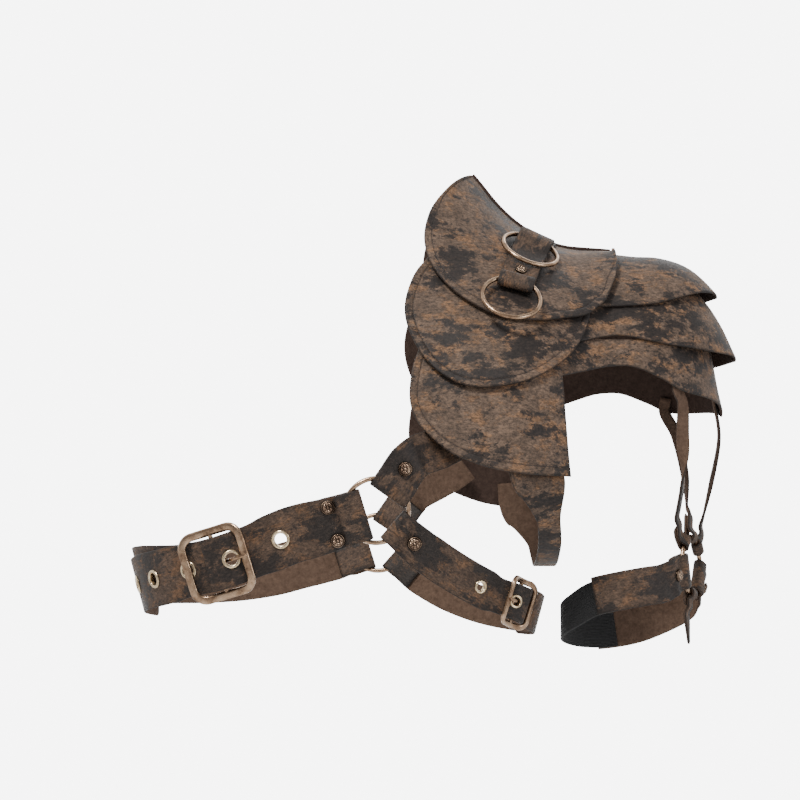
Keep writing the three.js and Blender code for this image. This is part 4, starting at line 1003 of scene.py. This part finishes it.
def chest_point(angle, height):
    half_width = CHEST_HALF_WIDTH + CHEST_TAPER * (height + BELT_DROP)
    half_depth = CHEST_HALF_DEPTH * half_width / CHEST_HALF_WIDTH
    turn = math.radians(angle)
    rounded = lambda value: math.copysign(abs(value) ** (2 / CHEST_SQUARENESS), value)
    across, ahead = rounded(math.sin(turn)), rounded(math.cos(turn))
    return vec(CHEST_X - half_width * across, -half_depth * ahead, height)


def chest_stop(angle, height):
    around = chest_point(angle + 1, height) - chest_point(angle - 1, height)
    up = chest_point(angle, height + 1) - chest_point(angle, height - 1)
    return chest_point(angle, height), -unit(np.cross(around, up))


def route_stops(route, lowest):
    stops = []
    for angle, share, stand in route:
        point, normal = chest_stop(angle, -mix(RING_DROP, lowest, share))
        stops.append((point + normal * stand * SIDE_STAND, normal))
    return stops


RING_POINT, RING_NORMAL = chest_stop(RING_ANGLE, -RING_DROP)
RING_UP = unit(vec(0, 0, 1) - RING_NORMAL * RING_NORMAL[2])
RING_RIGHT = np.cross(RING_UP, RING_NORMAL)


def ring_stops(right, up, runs):
    way = unit(RING_RIGHT * right + RING_UP * up)
    return [(RING_POINT + way * run, RING_NORMAL) for run in runs]


def mirrored(stops, side):
    flip = vec(1, -side, 1)
    return [(point * flip, normal * flip) for point, normal in stops]


def ring_end(radius):
    return radius + RING_WIRE + 2 * CLEARANCE


def ring_fold(radius, width, tail, settle=10):
    """The middle line of a strap end that is folded over a ring."""
    fold_run = math.sqrt((radius - RING_WIRE - 2 * CLEARANCE) ** 2 - (width / 2) ** 2) - RING_WIRE
    return folded_end(RING_WIRE, fold_run, ring_end(radius), tail, settle)


for side, label in SIDES:
    flip = vec(1, -side, 1)
    centre = (RING_POINT + RING_NORMAL * wire_height(RING_WIRE)) * flip
    add_ring(f"chest_ring_{label}", centre, RING_RIGHT * flip, RING_UP * flip, CHEST_RING_RADIUS)

# How the tongue climbs over the centre bar: shares of the frame's half length and of the climb
TONGUE_CLIMB = [
    (-1.4, 0), (-1.1, 0.04), (-0.92, 0.13), (-0.76, 0.32), (-0.58, 0.64), (-0.42, 0.86),
    (-0.22, 0.97), (0, 1),
]
BAR_CLEAR = 4.5
BOX_FACES = [(0, 1, 3, 2), (4, 6, 7, 5), (0, 4, 5, 1), (2, 3, 7, 6), (0, 2, 6, 4), (1, 5, 7, 3)]
TONGUE_TOP = wire_height(CENTRE_BAR) + turn_radius(CENTRE_BAR) + STRAP_LEATHER + 4 * CLEARANCE


def bar_fold(tail):
    fold_run = -turn_radius(CENTRE_BAR) - STRAP_LEATHER / 2
    return folded_end(CENTRE_BAR, fold_run, BAR_CLEAR, tail, tail / 2)


def tongue_line(length, tail):
    half = length / 2
    climb = [(run * half, mix(layer_height(0), TONGUE_TOP, rise)) for run, rise in TONGUE_CLIMB]
    beyond = [
        (run + (2 if i < 3 else 0), height + STRAP_LEATHER + 4 * CLEARANCE)
        for i, (run, height) in enumerate(bar_fold(tail)[6:])
    ]
    return climb + beyond


BELTS = [
    {
        "name": "belt",
        "way": (-0.953, -0.302),
        "route": [
            (8, 0.4, 0), (16.5, 0.6, 0), (29.5, 0.81, 0), (40, 0.89, 0), (52, 0.96, 0), (70, 1, 0),
            (90, 1, 0), (112, 0.98, 0),
        ],
        "under": [
            (16.5, 0.6, 0), (29.5, 0.81, 0), (40, 0.89, 0), (52, 0.92, 0), (70, 0.87, 0),
            (90, 0.81, 0), (120, 0.75, 0), (149, 0.66, 0), (163.5, 0.54, 0), (172, 0.4, 0),
        ],
        "lowest": BELT_DROP,
        "width": 46,
        "fold_width": 42,
        "tail": 40,
        "bar_tail": 12,
        "hole_share": 0.45,
        "rivets": [(37, 14), (37, -14)],
        "hole": 5,
        "rim": 7.7,
        "pitch": 41,
        "eyelets": [-1, 0, 1, 2, 3],
        "buckle": (60, 60, 7, 4, 4),
    },
    {
        "name": "side_strap",
        "way": (0.766, -0.642),
        "route": [
            (-33, 0.65, 0.1), (-47, 0.83, 0.4), (-61, 0.925, 0.75), (-80, 0.98, 1),
            (-100, 0.96, 1.04), (-118, 0.9, 1.04),
        ],
        "under": [
            (-47, 0.83, 0.4), (-61, 0.925, 0.75), (-80, 0.97, 1), (-100, 0.94, 1),
            (-118, 0.88, 0.9), (-133, 0.8, 0.5), (-147, 0.65, 0.1),
        ],
        "lowest": SIDE_DROP,
        "width": 33,
        "fold_width": 29,
        "tail": 47,
        "bar_tail": 8,
        "hole_share": 0.38,
        "rivets": [(STRAP_RIVET_RUN, 0)],
        "hole": 3.4,
        "rim": 5.6,
        "pitch": 31,
        "eyelets": [-1, 0],
        "buckle": (38, 42, 5, 3.4, 4.4),
    },
]

for belt in BELTS:
    name, width, fold_width = belt["name"], belt["width"], belt["fold_width"]
    length, frame_width, bar_wide, thick, bend = belt["buckle"]
    starts = ring_stops(*belt["way"], (0, 25, 50))
    front = Track(starts + route_stops(belt["route"], belt["lowest"]))
    back = Track(mirrored(starts, 1) + route_stops(belt["under"], belt["lowest"])[::-1])
    bar_point = route_stops(belt["route"], belt["lowest"])[2][0]
    bar, back_bar = front.nearest(bar_point), back.nearest(bar_point)
    fold = ring_fold(CHEST_RING_RADIUS, fold_width, belt["tail"])
    over_bar = [(bar + run, height) for run, height in tongue_line(length, belt["bar_tail"])]
    tongue = (
        fold
        + flat_runs(belt["tail"] + 12, over_bar[0][0] - 8, 16, layer_height(0))
        + over_bar
        + flat_runs(over_bar[-1][0], front.length - 4, 16, over_bar[-1][1])
        + [(front.length, over_bar[-1][1])]
    )
    within = frame_width - 2 * bar_wide - 10 * CLEARANCE

    def tongue_width(run):
        full = mix(fold_width, width, smooth(run, 20, 60))
        free = mix(within, full, smooth(abs(run - bar), length / 2, 0.8 * length))
        return free * mix(1, 0.45, smooth(run, front.length - 16, front.length))

    def back_width(run):
        full = mix(fold_width, width, smooth(run, 20, 60))
        return mix(full, within, smooth(run, back_bar - 60, back_bar - 30))

    hole_height = mix(layer_height(0), TONGUE_TOP, read(TONGUE_CLIMB, 1, -belt["hole_share"]))
    hole_run = belt["hole_share"] * length / 2
    rows = tongue[5:]
    holes = []
    for k in belt["eyelets"]:
        run = bar - hole_run + k * belt["pitch"]
        step = belt["rim"] * 0.7
        low, here, high = (float(read(rows, 1, run + d)) for d in (-step, 0, step))
        holes.append((run, here, -math.atan2(high - low, 2 * step)))
    piece = add_strap(f"{name}_tongue_leather", [f"{name}_tongue"], front, tongue, tongue_width)
    cutters = []
    for run, height, tilt in holes:
        reach = 3 * STRAP_LEATHER
        radius = belt["hole"] + 0.45
        points, faces = lathed([(radius, -reach), (radius, reach)], HOLE_STEPS)
        faces += [tuple(range(HOLE_STEPS))[::-1], tuple(range(HOLE_STEPS, 2 * HOLE_STEPS))]
        cutters.append(cutter_of(set_on(points, front, run, 0, height, tilt), faces))
    cut_through(piece, cutters)
    for i, (run, height, tilt) in enumerate(holes):
        points, faces = lathed(eyelet_profile(belt["hole"], belt["rim"]), EYELET_STEPS)
        points[:, 2] += STRAP_LEATHER / 2 + 0.3
        placed = set_on(points, front, run, 0, height, tilt)
        add_metal(f"{name}_eyelet_{i + 1}", placed, faces, BRASS_LIGHT)

    bar_end = [(back_bar - run, height) for run, height in bar_fold(belt["bar_tail"])[::-1]]
    carrying = fold + flat_runs(belt["tail"] + 12, bar_end[0][0] - 8, 20, layer_height(0)) + bar_end
    piece = add_strap(f"{name}_back_leather", [f"{name}_back"], back, carrying, back_width)
    slot_reach = CENTRE_BAR + STRAP_LEATHER + 2 * CLEARANCE + PRONG
    slot_size = vec(slot_reach, PRONG + 2 * CLEARANCE, 2 * slot_reach)
    box = np.array([(x, y, z) for x in (-1, 1) for y in (-1, 1) for z in (-1, 1)]) * slot_size
    bar_height = wire_height(CENTRE_BAR)
    cut_through(piece, [cutter_of(set_on(box, back, back_bar, 0, bar_height), BOX_FACES)])

    points, faces = buckle_frame(*belt["buckle"])
    add_metal(f"{name}_buckle_frame", set_on(points, front, bar, 0, bar_height), faces)
    below = TONGUE_TOP - STRAP_LEATHER / 2 - PRONG - 3 * CLEARANCE - bar_height
    rising = [
        (hole_run - belt["hole"] * 0.8, below - 0.8),
        (hole_run, hole_height - bar_height),
        (hole_run + belt["rim"] * 0.8, hole_height - bar_height + STRAP_LEATHER / 2 + 1),
    ]
    points, faces = prong_shape(length, thick, bend, rising)
    add_metal(f"{name}_buckle_prong", set_on(points, front, bar, 0, bar_height), faces)
    for track, label in ((front, "front"), (back, "back")):
        for i, (run, across) in enumerate(belt["rivets"]):
            add_rivet(f"{name}_rivet_{label}_{i + 1}", track, fold, run, across)
        inner, outer = (-7, 7), (8.5, fold_width / 2 - 3)
        spans = [inner] if name == "belt" else [outer, (-outer[0], -outer[1])]
        cross_stitches(f"{name}_stitches_{label}", track, fold, belt["rivets"][0][0], *spans)

# Straps up to the lower plates
UP_SETBACK = 11.5
UP_TAIL = 47


def seated(name, u, v, side, lift):
    point, normal = panel_place(name, np.array([float(u)]), v, side, lift)
    return point[0], normal[0]


for side, label in SIDES:
    seats = ((0.5, 0.98), (0.53, 0.86), (0.57, 0.7))
    under = [seated("lower_plate", u, v, -1, -STRAP_LEATHER - UP_SETBACK) for u, v in seats]
    track = Track(mirrored(ring_stops(0.573, 0.819, (0, 25, 50)) + under, side))
    line = ring_fold(CHEST_RING_RADIUS, UP_WIDTH, UP_TAIL)
    line += flat_runs(UP_TAIL + 12, track.length, 10, layer_height(0))
    add_strap(f"up_strap_{label}_leather", [f"up_strap_{label}"], track, line, lambda run: UP_WIDTH)
    add_rivet(f"up_strap_rivet_{label}", track, line, STRAP_RIVET_RUN, 0)
    cross_stitches(f"up_strap_stitches_{label}", track, line, STRAP_RIVET_RUN, (-14, -8), (8, 14))

# Underarm strap, one band round the armpit
# Its stops: place across, towards the front, down, and turn
UNDERARM_ROUTE = [
    (-8, 0.915, 0.79, 0.2), (-3, 0.82, 0.87, 0.1), (0, 0.62, 0.95, 0), (0, 0.33, 0.99, 0),
    (0, 0, 1, 0),
]
UNDERARM_X = -47
UNDERARM_DROP = 244
UNDERARM_SETBACK = 7
UNDERARM_WIDTHS = (48, 19)
UNDERARM_NARROWING = (14, 68)
UNDERARM_STEPS = 28
half = []
for u, v in ((0.86, 0.8), (0.87, 0.97)):
    point, normal = seated("lower_plate", u, v, -1, -STRAP_LEATHER - UNDERARM_SETBACK)
    half.append((point, unit(normal + vec(0.16, 0, 0))))
for across, fore, drop, turn in UNDERARM_ROUTE:
    point = vec(UNDERARM_X + across, -fore * SHOULDER_REACH, -drop * UNDERARM_DROP)
    half.append((point, unit(vec(turn, -fore, fore - 1))))
track = Track(half + mirrored(half[:-1], 1)[::-1])
middle = track.length / 2
line = [(i / UNDERARM_STEPS * track.length, layer_height(0)) for i in range(UNDERARM_STEPS + 1)]
add_strap(
    "underarm_strap_leather",
    ["underarm_strap"],
    track,
    line,
    lambda run: mix(*UNDERARM_WIDTHS, smooth(middle - abs(run - middle), *UNDERARM_NARROWING)),
    material=LEATHER,
    columns=13,
)

# Ring strap over the ridge, with two rings
UPPER_RING_RUN = 34
LOWER_RING_CENTRE = 130
RING_STRAP_WIDTH = 30
RING_STRAP_SHARES = (0.74, 0.695)
RING_STRAP_STAND = 2.3
UPPER_RING_LIFT = 4
UPPER_RING_FRONT_LIFT = 6.4
LOWER_RING_FRONT_LIFT = 6.5
stops = [
    seated("top_plate", mix(*RING_STRAP_SHARES, v), v, -1, PANEL_LEATHER + RING_STRAP_STAND)
    for v in (0.02, 0.12, 0.24, 0.36, 0.48, 0.6, 0.72, 0.84, 0.96)
]
track = Track(stops)
over = UPPER_RING_LIFT + RING_WIRE + CLEARANCE + STRAP_LEATHER / 2
sag = PLATE_RING_RADIUS - math.sqrt(PLATE_RING_RADIUS**2 - (RING_STRAP_WIDTH / 2) ** 2)
upper_end = UPPER_RING_RUN + sag + RING_WIRE + 2
fold = ring_fold(PLATE_RING_RADIUS, RING_STRAP_WIDTH, ring_end(PLATE_RING_RADIUS) + 2, 2.5)
lower_end = [(LOWER_RING_CENTRE - run, height) for run, height in fold[::-1]]
line = [
    (1, layer_height(0)),
    (UPPER_RING_RUN - 7, layer_height(0)),
    (UPPER_RING_RUN - 3, over),
    (upper_end, over),
    (upper_end + 8, layer_height(0) + 1),
    (upper_end + 16, layer_height(0)),
    *flat_runs(upper_end + 16, lower_end[0][0] - 3, 10, layer_height(0)),
    *lower_end,
]
add_strap("ring_strap_leather", ["ring_strap"], track, line, lambda run: RING_STRAP_WIDTH)
add_rivet("ring_strap_rivet_1", track, line, UPPER_RING_RUN - 12, 0, SMALL_RIVET)
between_rings = (upper_end + 16 + lower_end[0][0]) / 2
add_rivet("ring_strap_rivet_2", track, line, between_rings + 12, 0, SMALL_RIVET)


def lay_ring(name, upper_run, upper_lift, lower_lift):
    """A ring whose upper and lower arcs cross the track at two heights."""
    upper, _, _, across = track.place(upper_run, 0, upper_lift)
    lower_run = upper_run + 2 * PLATE_RING_RADIUS
    for _ in range(8):
        span = np.linalg.norm(track.place(lower_run, 0, lower_lift)[0] - upper)
        lower_run += 2 * PLATE_RING_RADIUS - span
    lower = track.place(lower_run, 0, lower_lift)[0]
    way = unit(lower - upper)
    across = unit(across - way * np.dot(across, way))
    add_ring(name, (lower + upper) / 2, way, across, PLATE_RING_RADIUS)


lay_ring("ring_upper", UPPER_RING_RUN, UPPER_RING_LIFT, UPPER_RING_FRONT_LIFT)
lower_ring_run = LOWER_RING_CENTRE - PLATE_RING_RADIUS
lay_ring("ring_lower", lower_ring_run, wire_height(RING_WIRE), LOWER_RING_FRONT_LIFT)

# Arm band: leather in front and behind, elastic at the inner arm, a ring at the outer arm
ARM_X = 16.7
ARM_RADIUS = 50
ARM_BAND_WIDTH = 32
HANGER_WIDTH = 11
HANGER_TAIL = 42
RING_TAIL = 34
RING_TAIL_POINT = 22
ARM_TURN = math.radians(23)
ARM_OUT = vec(math.cos(ARM_TURN), -math.sin(ARM_TURN), 0)
ARM_FRONT = vec(-math.sin(ARM_TURN), -math.cos(ARM_TURN), 0)
ARM_RING_CENTRE = vec(75.6, 0, -246.9)


def arm_stop(angle, drop, lift):
    turn = math.radians(angle)
    normal = vec(math.sin(turn), -math.cos(turn), 0)
    return vec(ARM_X, 0, -drop) + normal * (ARM_RADIUS + lift), normal


def arm_ring_stops(angle, runs):
    turn = math.radians(angle)
    way = ARM_FRONT * math.sin(turn) + vec(0, 0, math.cos(turn))
    middle = ARM_RING_CENTRE - ARM_OUT * wire_height(RING_WIRE)
    return [(middle + way * run, ARM_OUT) for run in runs]


add_ring("arm_ring", ARM_RING_CENTRE, vec(0, 0, 1), ARM_FRONT, ARM_RING_RADIUS)
OVER_ELASTIC = BAND_ELASTIC + 2 * CLEARANCE
ARM_BAND_TAIL = 40
ARM_RIVET_RUN = 36.8
# Angles round the arm and drops below the shoulder seat, along each band and the elastic
FRONT_BAND = [(38, 265.5), (20, 268.6), (2, 271.7), (-12, 274.1), (-21, 275.6), (-29, 277)]
BACK_BAND = [(150, 290), (168, 294.6), (182, 297), (192, 298.2), (200, 299)]
ELASTIC_LOOP = [
    (-14, 274.5), (-34, 280), (-52, 286.5), (-72, 291.5), (-92, 294.5), (-115, 297), (-140, 299),
    (-165, 299), (-178, 297.5),
]
front_stops = arm_ring_stops(108, (0, 22, 36))
back_stops = arm_ring_stops(-115, (0, 22, 36)) + [(vec(72, 44, -276), vec(0.65, 0.76, 0))]
for label, stops, band in (("front", front_stops, FRONT_BAND), ("back", back_stops, BACK_BAND)):
    track = Track(stops + [arm_stop(angle, drop, OVER_ELASTIC) for angle, drop in band])
    line = ring_fold(ARM_RING_RADIUS, ARM_BAND_WIDTH - 4, ARM_BAND_TAIL, 6)
    line += flat_runs(ARM_BAND_TAIL + 8, track.length, 10, layer_height(0))
    add_strap(
        f"arm_band_{label}_leather",
        [f"arm_band_{label}"],
        track,
        line,
        lambda run: mix(ARM_BAND_WIDTH - 4, ARM_BAND_WIDTH, smooth(run, 18, 40)),
    )
    add_rivet(f"arm_band_rivet_{label}", track, line, ARM_RIVET_RUN, 0, 0.9)
    cross_stitches(f"arm_band_stitches_{label}", track, line, track.length - 6, (-12.5, 12.5))
loop = Track([arm_stop(angle, drop, 0) for angle, drop in ELASTIC_LOOP])
line = [(0, BAND_ELASTIC / 2), *flat_runs(0, loop.length, 9, BAND_ELASTIC / 2)]
add_strap(
    "arm_elastic_band",
    ["arm_elastic"],
    loop,
    line,
    lambda run: ARM_BAND_WIDTH - 3,
    material=ELASTIC,
    leather=BAND_ELASTIC,
    columns=72,
    ribs=2.4,
    ripple=0,
)


def under_lame(u, v, side, twisted):
    lift = -4 * CLEARANCE - (0 if twisted else STRAP_LEATHER)
    point, normal = seated("shoulder_lame_3", u, v, side, lift)
    return point, -normal if twisted else normal


HANGERS = [
    (
        "hanger_front",
        45,
        [
            (vec(64.5, -40, -182), vec(0.95, -0.3, 0)),
            (vec(65.5, -52, -142), vec(-0.1, 0.99, 0.1)),
            (vec(65.5, -58, -116), vec(-0.6, 0.75, 0.1)),
        ],
        [under_lame(0.64, 0.97, -1, True), under_lame(0.64, 0.78, -1, True)],
    ),
    (
        "hanger_outer",
        -48,
        [(vec(94, 16, -175), vec(0.99, 0.1, 0)), (vec(100, 5, -138), vec(1, 0, 0))],
        [under_lame(1, 0.95, -1, False), under_lame(1, 0.72, -1, False)],
    ),
    (
        "hanger_back",
        -2,
        [(vec(73, 24, -172), vec(0.9, 0.4, 0)), (vec(67, 44, -130), vec(0.75, 0.65, 0))],
        [under_lame(0.64, 0.97, 1, False), under_lame(0.64, 0.78, 1, False)],
    ),
]
for name, angle, bends, lame in HANGERS:
    track = Track(arm_ring_stops(angle, (0, 24, 40)) + bends + lame)
    line = ring_fold(ARM_RING_RADIUS, HANGER_WIDTH, HANGER_TAIL, 6)
    line += flat_runs(HANGER_TAIL + 8, track.length, 8, layer_height(0))
    add_strap(f"{name}_leather", [name], track, line, lambda run: HANGER_WIDTH, columns=5)

# A trimmed end that hangs from the arm ring
lowest = (vec(ARM_X + 1.1 * ARM_RADIUS, 0, 1.27 * ARM_RING_CENTRE[2]), vec(0.9, -0.4, 0))
track = Track(arm_ring_stops(176, (0, 24, 40)) + [lowest])
line = ring_fold(ARM_RING_RADIUS, HANGER_WIDTH, RING_TAIL, 4)
line += flat_runs(RING_TAIL + 6, track.length, 7, layer_height(0))
end = track.length
add_strap(
    "ring_tail_leather",
    ["ring_tail"],
    track,
    line,
    lambda run: HANGER_WIDTH * mix(1, 0.3, smooth(run, end - RING_TAIL_POINT, end)),
    columns=5,
)

# Studio

VIEW_TARGET = Vector((-0.17, 0, -0.10625))
VIEW_WAY = Vector((0, math.cos(math.radians(8)), math.sin(math.radians(8))))
VIEW_REACH = 2.7
FLOOR_DROP = 1.35
FLOOR_REACH = 20
LENS = 142.94
SENSOR = 36
# Light of the room by direction, from its front, at 0, to a bright patch of wall behind, at 1
WALL = (0.24, 0.24, 0.24)
ROOM_LIGHT = [(0.3, (0.045, 0.045, 0.047)), (0.62, WALL), (0.955, WALL), (0.975, WHITE)]
ROOM_STRENGTH = 7


def add_light(name, spot, aim, size, energy, colour):
    lamp = bpy.data.lights.new(name, "AREA")
    lamp.shape = "DISK"
    lamp.size = size
    lamp.energy = energy
    lamp.color = colour
    light = bpy.data.objects.new(name, lamp)
    light.location = spot
    light.rotation_euler = (aim - Vector(spot)).to_track_quat("-Z", "Y").to_euler()
    bpy.context.scene.collection.objects.link(light)


add_light("key", (-1.1, -1.9, 1.9), VIEW_TARGET, 0.8, 104, (1, 0.98, 0.95))
add_light("fill", (1.8, -1.7, 0.3), VIEW_TARGET, 1.2, 26, (0.95, 0.97, 1))
add_light("back", (0.6, 1.6, 1.6), VIEW_TARGET, 1.2, 12, (1, 1, 1))
world = bpy.data.worlds.new("studio")
world.use_nodes = True
sky = world.node_tree
facing = add(sky, "ShaderNodeSeparateXYZ")
sky.links.new(add(sky, "ShaderNodeTexCoord").outputs["Generated"], facing.inputs[0])
half_way = add(sky, "ShaderNodeMath", operation="MULTIPLY_ADD")
half_way.inputs[1].default_value = 0.5
half_way.inputs[2].default_value = 0.5
sky.links.new(facing.outputs["Y"], half_way.inputs[0])
room = ramp(sky, half_way.outputs[0], ROOM_LIGHT)
sky.links.new(room, sky.nodes["Background"].inputs["Color"])
sky.nodes["Background"].inputs["Strength"].default_value = ROOM_STRENGTH
bpy.context.scene.world = world

floor_mesh = bpy.data.meshes.new("floor")
corners = [(x * FLOOR_REACH, y * FLOOR_REACH, 0) for x, y in ((-1, -1), (1, -1), (1, 1), (-1, 1))]
floor_mesh.from_pydata(corners, [], [(0, 1, 2, 3)])
floor = bpy.data.objects.new("floor", floor_mesh)
floor.location.z = -FLOOR_DROP
pale = bpy.data.materials.new("pale_floor")
pale.use_nodes = True
pale.node_tree.nodes["Principled BSDF"].inputs["Base Color"].default_value = (0.8, 0.8, 0.8, 1)
pale.node_tree.nodes["Principled BSDF"].inputs["Roughness"].default_value = 0.8
floor_mesh.materials.append(pale)
bpy.context.scene.collection.objects.link(floor)

lens = bpy.data.cameras.new("camera")
lens.sensor_width = SENSOR
lens.lens = LENS
camera = bpy.data.objects.new("camera", lens)
camera.location = VIEW_TARGET - VIEW_WAY * VIEW_REACH
camera.rotation_euler = VIEW_WAY.to_track_quat("-Z", "Y").to_euler()
bpy.context.scene.collection.objects.link(camera)
bpy.context.scene.camera = camera
